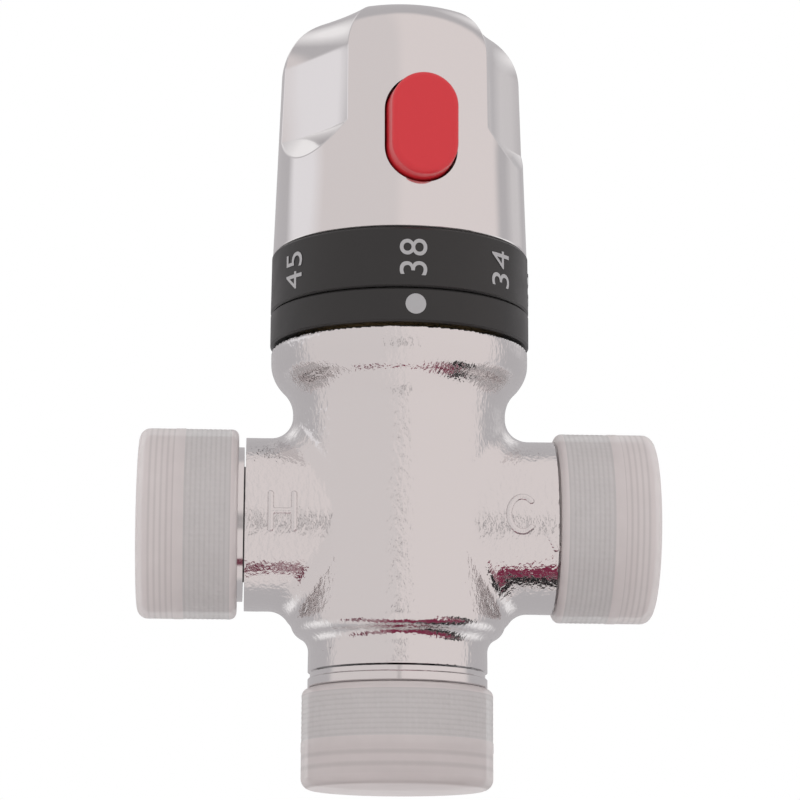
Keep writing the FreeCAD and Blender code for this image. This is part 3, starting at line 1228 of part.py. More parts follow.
def facing(direction, distance, height):
    """Placement whose Z axis points along a level direction, from a point on the inlet axis."""
    return FreeCAD.Placement(Vector(float(distance), 0, float(height)),
                             FreeCAD.Rotation(Vector(0, 0, 1), Vector(direction, 0, 0)))


def make_cap(name, gap, direction):
    """A moulded cap, drawn with its closed end at the bottom and its mouth up."""
    s = size
    mouth = s["cap_length"]
    mouth_edge = s["cap_mouth_edge"]
    bead_edge = s["cap_bead_edge"]
    bead_low = mouth - s["cap_bead_length"]
    corner_edge = s["cap_corner"]
    body = turned(name, [
        (0, 0), (s["cap_radius"] - s["cap_edge"], 0),
        Arc(s["cap_radius"], s["cap_edge"], s["cap_edge"]),
        (s["cap_radius"], mouth - mouth_edge), (s["cap_radius"] - mouth_edge, mouth),
        (s["cap_bead"] + bead_edge, mouth), (s["cap_bead"], mouth - bead_edge),
        (s["cap_bead"], bead_low), (s["cap_bore"], bead_low - s["cap_bead_back"]),
        (s["cap_bore"], s["cap_wall"] + corner_edge),
        (s["cap_bore"] - corner_edge, s["cap_wall"]), (0, s["cap_wall"])])
    if direction == 0:
        lift(body, -(gap + s["cap_wall"]))
        return
    distance = s["inlet_reach"] + gap + s["cap_wall"]
    body.Placement = facing(-direction, distance * float(direction), s["inlet_height"])
    bind(body, "Placement.Base.x", distance * float(direction))
    bind(body, "Placement.Base.z", s["inlet_height"])


def make_check_valve(prefix, side):
    """One check valve, drawn from its outer end with +Z along the flow, then turned inward."""
    s = size
    outer = s["check_radius"]
    length = s["check_length"]
    land = s["check_land"]
    bore = s["check_bore"]
    seat = s["check_seat"]
    bridge = length - s["check_bridge"]
    hub = s["check_hub"]
    hub_low = bridge - s["check_hub_drop"]
    mouth = s["check_mouth"]
    stem = s["poppet_stem"]
    stem_bore = stem + s["plunger_gap"]
    ring = s["check_ring_wire"]
    ring_radius = s["inlet_bore"] - ring - s["o_ring_space"]
    floor = ring_radius - ring - s["o_ring_space"]
    ring_height = s["check_ring_height"]
    groove_low = ring_height - s["check_groove"]
    groove_high = ring_height + s["check_groove"]
    placed = []

    body = new_body(prefix + "_check_housing")
    turn(body, "turned", [
        (seat + mouth, 0), (outer, 0), (outer, groove_low), (floor, groove_low),
        (floor, groove_high), (outer, groove_high), (outer, length), (stem_bore, length),
        (stem_bore, hub_low), (hub, hub_low), (hub, bridge), (bore, bridge),
        (bore, land + s["check_cone"]), (seat + s["check_face"], land), (seat, land),
        (seat, mouth)])
    sketch = new_sketch(body, "flow_opening_outline", "XY_Plane", (0, 0, length))
    draw_circle(sketch, (bore + hub) / 2, 0, (bore - hub) / 2 - s["hole_wall"])
    opening = extrude(body, "flow_opening", sketch, s["check_bridge"] + s["pad_sink"], "Pocket")
    around(body, "flow_openings", [opening], s["check_openings"])
    placed.append(body)

    placed.append(o_ring(prefix + "_check_o_ring", ring_radius, ring, 0))

    disc = land + s["o_ring_space"]
    seal_wire = s["seal_wire"]
    seal = seat + seal_wire
    seal_in = seal - seal_wire - s["slip"]
    seal_out = seal + seal_wire + s["seam"]
    seal_floor = disc + seal_wire * 2 + s["slip"]
    back = disc + s["poppet_disc"]
    rim = s["poppet_radius"]
    chamfer = s["edge_break"]
    root = s["poppet_root"]
    placed.append(turned(prefix + "_check_poppet", [
        (0, disc - s["poppet_nose"]), (seat - s["poppet_nose_flat"], disc - mouth),
        (seat - s["free_gap"], disc), (seal_in, disc), (seal_in, seal_floor),
        (seal_out, seal_floor), (seal_out, disc), (rim, disc + chamfer),
        (rim, back - chamfer), (rim - chamfer, back), (stem + root, back),
        (stem, back + root), (stem, length - root), (0, length - root)]))
    placed.append(o_ring(prefix + "_check_seal", seal, seal_wire, 0))
    coil_low = back + s["o_ring_space"]
    coil = spring(prefix + "_check_spring", s["check_coil"], s["check_wire"], s["check_turns"],
                  bridge - s["o_ring_space"] - coil_low)
    placed.append(coil)

    strainer = new_body(prefix + "_strainer")
    thick = s["strainer_thickness"]
    turn(strainer, "turned", rectangle(0, -thick, outer, -s["seam"]))
    sketch = new_sketch(strainer, "centre_hole_outline", "XY_Plane")
    draw_circle(sketch, 0, 0, s["strainer_hole"])
    extrude(strainer, "centre_hole", sketch, thick + s["overrun"], "Pocket")
    for name in ("inner", "outer"):
        sketch = new_sketch(strainer, name + "_hole_outline", "XY_Plane")
        draw_circle(sketch, s["strainer_%s_circle" % name], 0, s["strainer_hole"])
        hole = extrude(strainer, name + "_hole", sketch, thick + s["overrun"], "Pocket")
        around(strainer, name + "_holes", [hole], s["strainer_%s_holes" % name])
    placed.append(strainer)

    start = s["counterbore_end"] + length + s["slip"]
    shifts = [0, ring_height, 0, disc + seal_wire, coil_low, 0]
    for piece, shift in zip(placed, shifts):
        distance = (start - shift) * side
        piece.Placement = facing(-side, distance, s["inlet_height"])
        bind(piece, "Placement.Base.x", distance)
        bind(piece, "Placement.Base.z", s["inlet_height"])


# ---------------------------------------------------------------- build, check and write

make_casting()
make_cartridge()
make_shuttle()
make_wax_element()
make_adjuster()
make_spindle()
hexagon_top = make_bonnet()
make_stop_ring(hexagon_top)
make_rings()
make_handle_shell()
make_handle_inside()
make_button()
make_cap("outlet_cap", size["outlet_cap_gap"], 0)
make_cap("hot_cap", size["hot_cap_gap"], -1)
make_cap("cold_cap", size["cold_cap_gap"], 1)
make_check_valve("hot", -1.0)
make_check_valve("cold", 1.0)

doc.recompute()
for item in doc.Objects:
    if "Invalid" in item.State or "Error" in item.State:
        raise RuntimeError("%s did not build" % item.Label)
for piece in made:
    if piece.Shape.isNull() or not piece.Shape.isValid():
        raise RuntimeError("%s has no valid shape" % piece.Label)

os.makedirs("parts", exist_ok=True)
for piece in made:
    piece.Shape.exportStep("parts/%s.step" % piece.Label)
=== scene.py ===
import json
import math
from contextlib import contextmanager

import bmesh
import bpy
from mathutils import Matrix, Vector, noise


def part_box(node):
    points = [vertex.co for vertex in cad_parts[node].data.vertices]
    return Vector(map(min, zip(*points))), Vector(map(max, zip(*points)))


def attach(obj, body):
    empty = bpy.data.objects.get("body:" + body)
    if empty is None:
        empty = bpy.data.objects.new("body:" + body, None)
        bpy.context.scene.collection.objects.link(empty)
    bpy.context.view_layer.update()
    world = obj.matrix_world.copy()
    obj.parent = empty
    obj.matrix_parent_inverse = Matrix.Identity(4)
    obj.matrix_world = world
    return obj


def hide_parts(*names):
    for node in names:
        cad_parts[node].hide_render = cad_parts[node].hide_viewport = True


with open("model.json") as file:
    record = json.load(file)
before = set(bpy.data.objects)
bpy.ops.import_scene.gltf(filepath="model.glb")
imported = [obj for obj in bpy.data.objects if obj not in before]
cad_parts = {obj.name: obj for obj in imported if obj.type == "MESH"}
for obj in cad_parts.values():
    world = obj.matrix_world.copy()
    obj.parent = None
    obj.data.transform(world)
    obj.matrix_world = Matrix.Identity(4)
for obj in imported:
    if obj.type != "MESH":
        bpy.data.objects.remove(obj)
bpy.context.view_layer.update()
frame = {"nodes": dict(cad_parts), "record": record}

# Looks of the thermostatic mixing valve. Metres, in the CAD frame: the origin is the centre of the
# outlet's end face, +Z runs up the valve axis, -X is the hot side and -Y the front.

MM = 0.001
NODES = frame["nodes"]

# ---------------------------------------------------------------- sizes, read from the frame

_, casting_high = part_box("valve_casting")
index_low, index_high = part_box("index_ring")
number_low, number_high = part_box("number_ring")
outlet_cap_low, outlet_cap_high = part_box("outlet_cap")
hot_cap_low, hot_cap_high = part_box("hot_cap")
_, cold_cap_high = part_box("cold_cap")

INLET_HEIGHT = (hot_cap_low.z + hot_cap_high.z) / 2
INLET_REACH = casting_high.x
CAP_LENGTH = outlet_cap_high.z - outlet_cap_low.z
RING_RADIUS = number_high.y

# the form of a G3/4 thread
THREAD_PITCH = 1.814 * MM
THREAD_DEPTH = 1.16 * MM

# ---------------------------------------------------------------- sizes, as the CAD has them

# the turned end that carries a thread
THREAD_RADIUS = 13.22 * MM
THREAD_LENGTH = 11.05 * MM
THREAD_CHAMFER = 0.8 * MM
RELIEF_RADIUS = 12.2 * MM
OUTLET_BORE = 9.5 * MM
INLET_BORE = 9.2 * MM

# collar between the outlet's undercut and the cast barrel: a land with a shallow groove above it
COLLAR_FOOT = 12.7 * MM
COLLAR_LAND = 14.2 * MM
COLLAR_TOP = 15.0 * MM
GROOVE_DEPTH = 0.35 * MM

# cast body
NECK_RADIUS = 14.1 * MM
BARREL_RADIUS = 16.9 * MM
TOP_RADIUS = 20.5 * MM
STUB_RADIUS = 13.7 * MM
STUB_END = 24.5 * MM
STUB_FILLET = 3.6 * MM
BELLY = (18.4 * MM, 23.0 * MM)
FLARE = (56.2 * MM, 64.6 * MM)

# caps: outside, bore, the bead that holds them, end wall and the rounding of the closed end
CAP_RADIUS = 15.0 * MM
CAP_BORE = 13.9 * MM
CAP_BEAD = 13.28 * MM
CAP_WALL = 0.95 * MM
CAP_EDGE = 1.7 * MM
CAP_INSIDE_EDGE = 0.6 * MM
BEAD_EDGE = 0.15 * MM
BEAD_DEPTHS = (0.45 * MM, 0.75 * MM)        # below the mouth: where the bead's slope starts, ends


# ---------------------------------------------------------------- materials

def add_node(tree, kind, inputs=None, **settings):
    """Add a shader node. An input given as a socket is linked, any other value is set."""
    node = tree.nodes.new("ShaderNode" + kind)
    for name, value in settings.items():
        setattr(node, name, value)
    for name, value in (inputs or {}).items():
        if isinstance(value, bpy.types.NodeSocket):
            tree.links.new(value, node.inputs[name])
        else:
            node.inputs[name].default_value = value
    return node


def material(name, color, roughness, metallic=0.0, alpha=1.0):
    """A Principled material; returns it with its node tree and shader for the detail."""
    made = bpy.data.materials.new(name)
    made.use_nodes = True
    tree = made.node_tree
    shader = tree.nodes["Principled BSDF"]
    for socket, value in (("Base Color", (*color, 1.0)), ("Roughness", roughness),
                          ("Metallic", metallic), ("Alpha", alpha)):
        shader.inputs[socket].default_value = value
    return made, tree, shader


def object_place(tree, scale=(1, 1, 1), turned=(0, 0, 0)):
    """The point's place in the frame, in metres, stretched or turned."""
    place = add_node(tree, "TexCoord").outputs["Object"]
    return add_node(tree, "Mapping", {"Vector": place, "Scale": scale,
                                      "Rotation": turned}).outputs["Vector"]


def patches(tree, size, detail, **mapping):
    """Soft noise whose features are about size across."""
    return add_node(tree, "TexNoise", {"Vector": object_place(tree, **mapping),
                                       "Scale": 1.0 / size, "Detail": detail}).outputs["Fac"]


def spread(tree, value, low, high, start=0.3, end=0.7):
    """Map start..end to low..high; most of a noise lies between the default start and end."""
    return add_node(tree, "MapRange", {"Value": value, "From Min": start, "From Max": end,
                                       "To Min": low, "To Max": high}).outputs["Result"]


def blend_colors(tree, share, below, above):
    """The color below, covered by the one above to the extent of share."""
    return add_node(tree, "Mix", {"Factor": share, "A": below, "B": above},
                    data_type="RGBA").outputs["Result"]


def add_relief(tree, shader, layers):
    """Layers of relief: dicts with a depth and what patches needs, each on those before it."""
    below = {}
    for layer in layers:
        grain = {key: value for key, value in layer.items() if key != "depth"}
        bump = add_node(tree, "Bump", {"Height": patches(tree, **grain), "Strength": 1.0,
                                       "Distance": layer["depth"], **below})
        below = {"Normal": bump.outputs["Normal"]}
    tree.links.new(below["Normal"], shader.inputs["Normal"])


def add_gloss(tree, shader, low, high, **grain):
    """A roughness that wanders between low and high."""
    tree.links.new(spread(tree, patches(tree, **grain), low, high),
                   shader.inputs["Roughness"])


def finished(name, color, roughness, metallic=0.0, relief=(), gloss=None):
    """A material with relief, and with gloss that varies where that is asked for."""
    made, tree, shader = material(name, color, roughness, metallic)
    add_relief(tree, shader, relief)
    if gloss:
        add_gloss(tree, shader, **gloss)
    return made


def inner(color, roughness, metallic=0.0):
    """The look of a piece inside: even color, fine grain and a little change in gloss."""
    return dict(color=color, roughness=roughness, metallic=metallic,
                relief=[dict(size=0.3 * MM, detail=2.0, depth=0.006 * MM)],
                gloss=dict(size=4 * MM, detail=3.0, low=roughness * 0.85,
                           high=min(roughness * 1.2, 1.0)))


CAP_ROUGHNESS = 0.36
CLOUD = 0.025                               # share by which the alpha wanders
LINE_WAVER, LINE_DETAIL = 0.9, 60.0         # distortion of the lines, and its detail scale
LINE_END = 0.6                              # of the wave, above which there is no line


def cap_plastic(name, color, alpha, axis=None, pitch=None, shade=None):
    """Milky plastic. With an axis, lines of painted shade lie on it, a pitch apart along the axis.
    """
    made, tree, shader = material(name, color, CAP_ROUGHNESS, alpha=alpha)
    add_relief(tree, shader, [dict(size=1.2 * MM, detail=3.0, depth=0.015 * MM)])
    cloud = spread(tree, patches(tree, size=5 * MM, detail=2.0),
                   alpha * (1 - CLOUD), alpha * (1 + CLOUD))
    tree.links.new(cloud, shader.inputs["Alpha"])
    if axis:
        # a wave texture of scale 1 repeats every pi / 10 metres
        wave = add_node(tree, "TexWave", {
            "Vector": object_place(tree), "Scale": math.pi / 10 / pitch,
            "Distortion": LINE_WAVER, "Detail Scale": LINE_DETAIL}, bands_direction=axis)
        between_lines = spread(tree, wave.outputs["Fac"], 0.0, 1.0, start=0.0, end=LINE_END)
        # the colour of a line: the plastic darkened by painted shade
        line = (*[part * shade for part in color], 1.0)
        tree.links.new(blend_colors(tree, between_lines, line, (*color, 1.0)),
                       shader.inputs["Base Color"])
    return made


CAST_COLOR = (0.80, 0.785, 0.785)
LOOKS = {
    "cast_chrome": dict(
        color=CAST_COLOR, roughness=0.08, metallic=1.0,
        relief=[dict(size=2.6 * MM, detail=1.0, depth=0.06 * MM),
                dict(size=0.65 * MM, detail=2.0, depth=0.10 * MM,
                     scale=(1.0, 1.0, 0.6), turned=(0.3, 0.5, 0.6))],
        gloss=dict(size=9 * MM, detail=3.0, low=0.06, high=0.12)),
    "turned_chrome": dict(
        color=CAST_COLOR, roughness=0.12, metallic=1.0,
        relief=[dict(size=1.1 * MM, detail=2.0, depth=0.01 * MM)]),
    "polished_chrome": dict(
        color=(0.82, 0.805, 0.805), roughness=0.07, metallic=1.0,
        relief=[dict(size=14 * MM, detail=1.0, depth=0.03 * MM)],
        gloss=dict(size=6 * MM, detail=4.0, low=0.055, high=0.10, scale=(1.0, 1.0, 0.3))),
    "print_grey": dict(
        color=(0.47, 0.46, 0.47), roughness=0.5,
        relief=[dict(size=0.2 * MM, detail=2.0, depth=0.003 * MM)]),
    "black_ring": dict(
        color=(0.022, 0.021, 0.021), roughness=0.38,
        relief=[dict(size=0.18 * MM, detail=2.0, depth=0.004 * MM)],
        gloss=dict(size=5 * MM, detail=3.0, low=0.34, high=0.44)),
    "red_button": dict(
        color=(0.73, 0.030, 0.042), roughness=0.28,
        relief=[dict(size=1.6 * MM, detail=2.0, depth=0.006 * MM)]),
    "brass": inner((0.74, 0.53, 0.25), 0.25, 1.0),
    "white_plastic": inner((0.8, 0.8, 0.78), 0.4),
    "dark_plastic": inner((0.05, 0.05, 0.055), 0.45),
    "rubber_seal": inner((0.02, 0.02, 0.02), 0.6),
    "spring_steel": inner((0.55, 0.55, 0.56), 0.22, 1.0),
    "strainer_steel": inner((0.6, 0.6, 0.6), 0.28, 1.0),
}

# On the caps, lines of painted shade stand for the thread seen through the wall and for each row
# of the ribs. The thread's lines on the inlets' caps are half a pitch apart.
RIB_ROW = 0.76 * MM
RIB_SHADE = 0.91
THREAD_SHADE = 0.84
CAP_LOOKS = {
    "cap_plastic": dict(color=(0.86, 0.79, 0.785), alpha=0.64),
    "cap_thread_x": dict(color=(0.87, 0.80, 0.795), alpha=0.62, axis="X",
                         pitch=THREAD_PITCH / 2, shade=THREAD_SHADE),
    "cap_thread_z": dict(color=(0.87, 0.80, 0.795), alpha=0.62, axis="Z",
                         pitch=THREAD_PITCH, shade=THREAD_SHADE),
    # painted shade: a darker copy of the plastic for the ribbed zone near the mouth, darker on the
    # inlets' caps than on the outlet's, with lines of painted shade for the rib rows
    "cap_ribbed_x": dict(color=(0.77, 0.74, 0.74), alpha=0.60, axis="X",
                         pitch=RIB_ROW, shade=RIB_SHADE),
    "cap_ribbed_z": dict(color=(0.80, 0.77, 0.77), alpha=0.60, axis="Z",
                         pitch=RIB_ROW, shade=RIB_SHADE),
}

finishes = {name: finished(name, **look) for name, look in LOOKS.items()}
finishes.update({name: cap_plastic(name, **look) for name, look in CAP_LOOKS.items()})

for entry in frame["record"]["subparts"]:
    thing = NODES[entry["node"]]
    thing.data.materials.clear()
    thing.data.materials.append(finishes[entry["material_slot"]])


# ---------------------------------------------------------------- tools for meshes

SAME_POINT = 1e-6                           # points nearer than this are merged
ON_PLANE = 1e-7                             # and nearer to a cut than this, they lie on it


def link_object(name, data):
    """An object of this data, in the scene."""
    thing = bpy.data.objects.new(name, data)
    bpy.context.collection.objects.link(thing)
    return thing


def add_piece(name, mesh, finish, body, slot, *replaced):
    """Put a finished mesh in the scene, on a body."""
    mesh.materials.clear()
    mesh.materials.append(finishes[finish])
    thing = link_object(name, mesh)
    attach(thing, body)
    if replaced:
        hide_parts(*replaced)


@contextmanager
def editing(mesh, source=None):
    """A bmesh of the source, or else of the mesh; at the end it is written to the mesh."""
    work = bmesh.new()
    work.from_mesh(source or mesh)
    yield work
    work.to_mesh(mesh)
    work.free()


def baked(data, *modifiers):
    """The mesh that data becomes under its modifiers, each a kind with its settings."""
    thing = link_object("baked", data)
    for kind, settings in modifiers:
        modifier = thing.modifiers.new(kind, kind)
        for name, value in settings.items():
            setattr(modifier, name, value)
    graph = bpy.context.evaluated_depsgraph_get()
    mesh = bpy.data.meshes.new_from_object(thing.evaluated_get(graph))
    bpy.data.objects.remove(thing)
    return mesh


def smooth(mesh, crisp=None):
    """Smooth shading; edges that turn by more than crisp degrees stay crisp."""
    mesh.polygons.foreach_set("use_smooth", [True] * len(mesh.polygons))
    if crisp is not None:
        mesh.set_sharp_from_angle(angle=math.radians(crisp))
    mesh.update()


def angles_round(count):
    """The angles of evenly spaced points on a circle."""
    return [2 * math.pi * index / count for index in range(count)]


def ring_mesh(name, rings, closed=True):
    """A mesh from rings of points.

    Closed joins the last ring to the first; otherwise a fan closes each end.
    """
    around = len(rings[0])
    points = [point for ring in rings for point in ring]
    faces = []
    count = len(rings)
    for row in range(count if closed else count - 1):
        low = row * around
        high = ((row + 1) % count) * around
        for step in range(around):
            after = (step + 1) % around
            faces.append((low + step, low + after, high + after, high + step))
    if not closed:
        for first, ring in ((0, rings[0]), ((count - 1) * around, rings[-1])):
            middle = len(points)
            points.append(sum(ring, Vector()) / around)
            faces += [(first + step, first + (step + 1) % around, middle)
                      for step in range(around)]
    mesh = bpy.data.meshes.new(name)
    mesh.from_pydata(points, [], faces)
    mesh.validate()
    with editing(mesh) as work:
        bmesh.ops.recalc_face_normals(work, faces=work.faces)
    return mesh


def about_outlet(radius, angle, depth):
    """A point about the valve axis, at a depth above the outlet's end face."""
    return Vector((radius * math.sin(angle), -radius * math.cos(angle), depth))


def about_inlet(side):
    """The same about an inlet axis, with the depth measured in from its end face."""
    def place(radius, angle, depth):
        return Vector((side * (INLET_REACH - depth), -radius * math.cos(angle),
                       INLET_HEIGHT + radius * math.sin(angle)))
    return place


# ---------------------------------------------------------------- threaded ends

THREAD_FLAT, THREAD_FLANK = 0.14, 0.72      # of half a pitch: the flats and the flank between
THREAD_SEGMENTS = 144
ROWS_PER_PITCH = 14
LEAD_IN_DROP = 0.2 * MM                     # below the thread's root, at the end face
LEAD_IN_SLOPE = 1.3
RELIEF_RUN = 0.25 * MM                      # from the thread's end down into the undercut
JOINT_RUN = 0.02 * MM                       # last step before the cut of the casting
COLLAR_EDGE = 0.15 * MM                     # these two soften the collar's corners
GROOVE_EDGE = 0.1 * MM


def thread_profile(phase):
    """Height of a rounded thread between root, 0, and crest, 1."""
    slope = abs(((phase % 1.0) - 0.5) * 2.0)
    return min(max((slope - THREAD_FLAT) / THREAD_FLANK, 0.0), 1.0)


def threaded_end(name, place, bore, steps):
    """The turned end of a connection: bore, end face, chamfer, screw thread and undercut.

    steps are the outline's (radius, depth) corners after the undercut's bottom.
    """
    angles = angles_round(THREAD_SEGMENTS)
    mouth = THREAD_CHAMFER / 2

    def ring(radius, depth):
        return [place(radius, angle, depth) for angle in angles]

    last = steps[-1][1]
    start = THREAD_RADIUS - THREAD_DEPTH - LEAD_IN_DROP
    rings = [ring(bore, last), ring(bore, last / 2), ring(bore, mouth), ring(bore + mouth, 0.0),
             ring(start, 0.0)]
    rows = int(THREAD_LENGTH / THREAD_PITCH * ROWS_PER_PITCH)
    for row in range(rows + 1):
        depth = THREAD_LENGTH * row / rows
        highest = start + depth * LEAD_IN_SLOPE
        points = []
        for angle in angles:
            phase = depth / THREAD_PITCH - angle / (2 * math.pi)
            radius = THREAD_RADIUS - THREAD_DEPTH * (1.0 - thread_profile(phase))
            points.append(place(min(radius, highest), angle, depth))
        rings.append(points)
    rings.append(ring(RELIEF_RADIUS, THREAD_LENGTH + RELIEF_RUN))
    rings += [ring(radius, depth) for radius, depth in steps]
    mesh = ring_mesh(name, rings)
    smooth(mesh, crisp=40)
    add_piece(name, mesh, "turned_chrome", "casting", "cast_chrome")


threaded_end("outlet_thread", about_outlet, OUTLET_BORE, [
    (RELIEF_RADIUS, COLLAR_FOOT - GROOVE_EDGE), (RELIEF_RADIUS + GROOVE_EDGE, COLLAR_FOOT),
    (NECK_RADIUS - COLLAR_EDGE, COLLAR_FOOT), (NECK_RADIUS, COLLAR_FOOT + COLLAR_EDGE),
    (NECK_RADIUS, COLLAR_LAND - COLLAR_EDGE), (NECK_RADIUS - COLLAR_EDGE, COLLAR_LAND),
    (NECK_RADIUS - GROOVE_DEPTH, COLLAR_LAND + GROOVE_EDGE),
    (NECK_RADIUS - GROOVE_DEPTH, COLLAR_TOP)])
for side_name, side in (("hot", -1), ("cold", 1)):
    threaded_end(side_name + "_thread", about_inlet(side), INLET_BORE, [
        (RELIEF_RADIUS, INLET_REACH - STUB_END - JOINT_RUN),
        (RELIEF_RADIUS, INLET_REACH - STUB_END)])


# ---------------------------------------------------------------- cast body

CAST_VOXEL = 0.47 * MM
TRIM = 0.26 * MM                            # cut off each end after the remesh, which rounds them
NEARLY_PARALLEL = 0.995                     # cosine above which two surfaces need no fillet
WIDE_WAVE, WIDE_DEPTH = 5.5 * MM, 0.05      # uneven skin: metres across, millimetres deep
FINE_WAVE, FINE_DEPTH = 1.7 * MM, 0.014
FINE_SHIFT = Vector((7, 3, 1))              # keeps the fine waves from following the wide ones
SLOPE_STEP = 0.02 * MM                      # steps over which slopes are measured
NORMAL_STEP = 0.05 * MM
PROJECTIONS = 3                             # times that a point is moved on to the surface


def s_curve_radius(height, low, high, start, end):
    """Radius on two equal arcs that leave and meet upright lines."""
    across = (end - start) / 2
    up = (high - low) / 2
    arc = (across * across + up * up) / (2 * abs(across))
    side = 1 if across > 0 else -1
    if height < low + up:
        return start + side * (arc - math.sqrt(arc * arc - (height - low) ** 2))
    return end - side * (arc - math.sqrt(arc * arc - (high - height) ** 2))


def barrel_radius(height):
    """Outside radius of the barrel, from the neck over the belly to the flare at the top."""
    if height < BELLY[0]:
        return NECK_RADIUS
    if height < BELLY[1]:
        return s_curve_radius(height, *BELLY, NECK_RADIUS, BARREL_RADIUS)
    if height < FLARE[0]:
        return BARREL_RADIUS
    if height < FLARE[1]:
        return s_curve_radius(height, *FLARE, BARREL_RADIUS, TOP_RADIUS)
    return TOP_RADIUS


def cast_distance(point):
    """Signed distance to the cast outside, with the rolled fillet between barrel and stubs.

    In the fillet, the ball's centre is where barrel and stub are both STUB_FILLET away.
    """
    slope = (barrel_radius(point.z + SLOPE_STEP)
             - barrel_radius(point.z - SLOPE_STEP)) / (2 * SLOPE_STEP)
    lean = math.hypot(1, slope)
    reach = math.hypot(point.x, point.y)
    barrel = (reach - barrel_radius(point.z)) / lean
    height = math.hypot(point.y, point.z - INLET_HEIGHT)
    stub = height - STUB_RADIUS
    if barrel > STUB_FILLET or stub > STUB_FILLET:
        return min(barrel, stub)
    barrel_out = Vector((point.x / reach, point.y / reach, -slope)) / lean
    stub_out = Vector((0, point.y, point.z - INLET_HEIGHT)) / height
    between = barrel_out.dot(stub_out)
    if between > NEARLY_PARALLEL:
        return min(barrel, stub)
    to_barrel = STUB_FILLET - barrel
    to_stub = STUB_FILLET - stub
    share_barrel = (to_barrel - between * to_stub) / (1 - between * between)
    share_stub = (to_stub - between * to_barrel) / (1 - between * between)
    if share_barrel < 0 or share_stub < 0:
        return min(barrel, stub)
    return STUB_FILLET - (share_barrel * barrel_out + share_stub * stub_out).length


def cast_normal(point):
    """The distance at a point, and the direction in which it grows."""
    here = cast_distance(point)
    slopes = []
    for axis in range(3):
        offset = Vector()
        offset[axis] = NORMAL_STEP
        slopes.append((cast_distance(point + offset) - here) / NORMAL_STEP)
    return here, Vector(slopes).normalized()


def cut_off(work, place, normal):
    """Cut a mesh with a plane, drop what is beyond it and close the cut."""
    everything = work.verts[:] + work.edges[:] + work.faces[:]
    cut = bmesh.ops.bisect_plane(work, geom=everything, plane_co=place, plane_no=normal,
                                 clear_outer=True, dist=ON_PLANE)
    rim = [item for item in cut["geom_cut"] if isinstance(item, bmesh.types.BMEdge)]
    bmesh.ops.triangle_fill(work, edges=rim, use_beauty=True, normal=normal)


def cut_ends(work, inward=0.0):
    """Cut off the turned ends, at the planes where they start or a little further in."""
    cut_off(work, (0, 0, COLLAR_TOP + inward), (0, 0, -1))
    cut_off(work, (STUB_END - inward, 0, 0), (1, 0, 0))
    cut_off(work, (inward - STUB_END, 0, 0), (-1, 0, 0))


def cast_body():
    """The casting between its turned ends, remade as an even mesh with the uneven cast skin."""
    mesh = bpy.data.meshes.new("cast_body")
    with editing(mesh, source=NODES["valve_casting"].data) as work:
        bmesh.ops.remove_doubles(work, verts=work.verts, dist=SAME_POINT)
        cut_ends(work)
    even = baked(mesh, ("REMESH", dict(mode="VOXEL", voxel_size=CAST_VOXEL,
                                       use_smooth_shade=True)))
    for vertex in even.vertices:
        point = vertex.co.copy()
        if abs(point.x) > STUB_END - CAST_VOXEL or point.z < COLLAR_TOP + CAST_VOXEL:
            reach = 0.5 * CAST_VOXEL
        else:
            reach = CAST_VOXEL
        distance = cast_distance(point)
        if abs(distance) > reach or point.z > casting_high.z - 0.5 * CAST_VOXEL:
            continue
        for _ in range(PROJECTIONS):
            distance, outward = cast_normal(point)
            point -= outward * distance
        wide = noise.noise(point / WIDE_WAVE)
        fine = noise.noise(point / FINE_WAVE + FINE_SHIFT)
        point += outward * (wide * WIDE_DEPTH + fine * FINE_DEPTH) * MM
        vertex.co = point
    with editing(even) as work:
        cut_ends(work, TRIM)
    smooth(even, crisp=55)
    add_piece("cast_body", even, "cast_chrome", "casting", "cast_chrome", "valve_casting")


cast_body()


# ---------------------------------------------------------------- cast letters and gate mark

LETTER_HALF_WIDTH = 1.8 * MM
LETTER_HALF_HEIGHT = 2.75 * MM
LETTER_STROKE = 1.15 * MM
LETTER_PROUD = 0.42 * MM
LETTER_PLACE = 18.5 * MM
STROKE_VOXEL = 0.1 * MM
BEAD_SPACING = 0.25                         # of a stroke's width
SMOOTH_ROUNDS = 4
BOW_WIDER = 1.15                            # the C's bow against the H's width
BOW_START, BOW_SWEEP = 48, 264              # degrees
BOW_STEPS = 22
GATE_PLACE = 23.2 * MM
GATE_WIDTH = 2.2 * MM
GATE_PROUD = 0.16 * MM
GATE_ENDS = [(-0.5 * MM, -3.2 * MM), (0.6 * MM, -5.4 * MM)]


def stroke_mesh(name, strokes, width, place):
    """Rounded ridges along strokes of (across, up) points, laid on a surface by place."""
    mesh = bpy.data.meshes.new(name)
    with editing(mesh) as work:
        for stroke in strokes:
            for start, end in zip(stroke[:-1], stroke[1:]):
                steps = max(int(math.dist(start, end) / (BEAD_SPACING * width)), 1)
                for step in range(steps + 1):
                    share = step / steps
                    across = start[0] + (end[0] - start[0]) * share
                    up = start[1] + (end[1] - start[1]) * share
                    bmesh.ops.create_icosphere(work, subdivisions=2, radius=width / 2,
                                               matrix=Matrix.Translation(place(across, up)))
    fused = baked(mesh, ("REMESH", dict(mode="VOXEL", voxel_size=STROKE_VOXEL)),
                  ("SMOOTH", dict(iterations=SMOOTH_ROUNDS)))
    smooth(fused)
    return fused


def on_stub(middle, sunk):
    """Places on the front of the stubs, about middle and sunk below their skin."""
    def place(across, up):
        angle = up / STUB_RADIUS
        radius = STUB_RADIUS - sunk
        return Vector((middle + across, -radius * math.cos(angle),
                       INLET_HEIGHT + radius * math.sin(angle)))
    return place


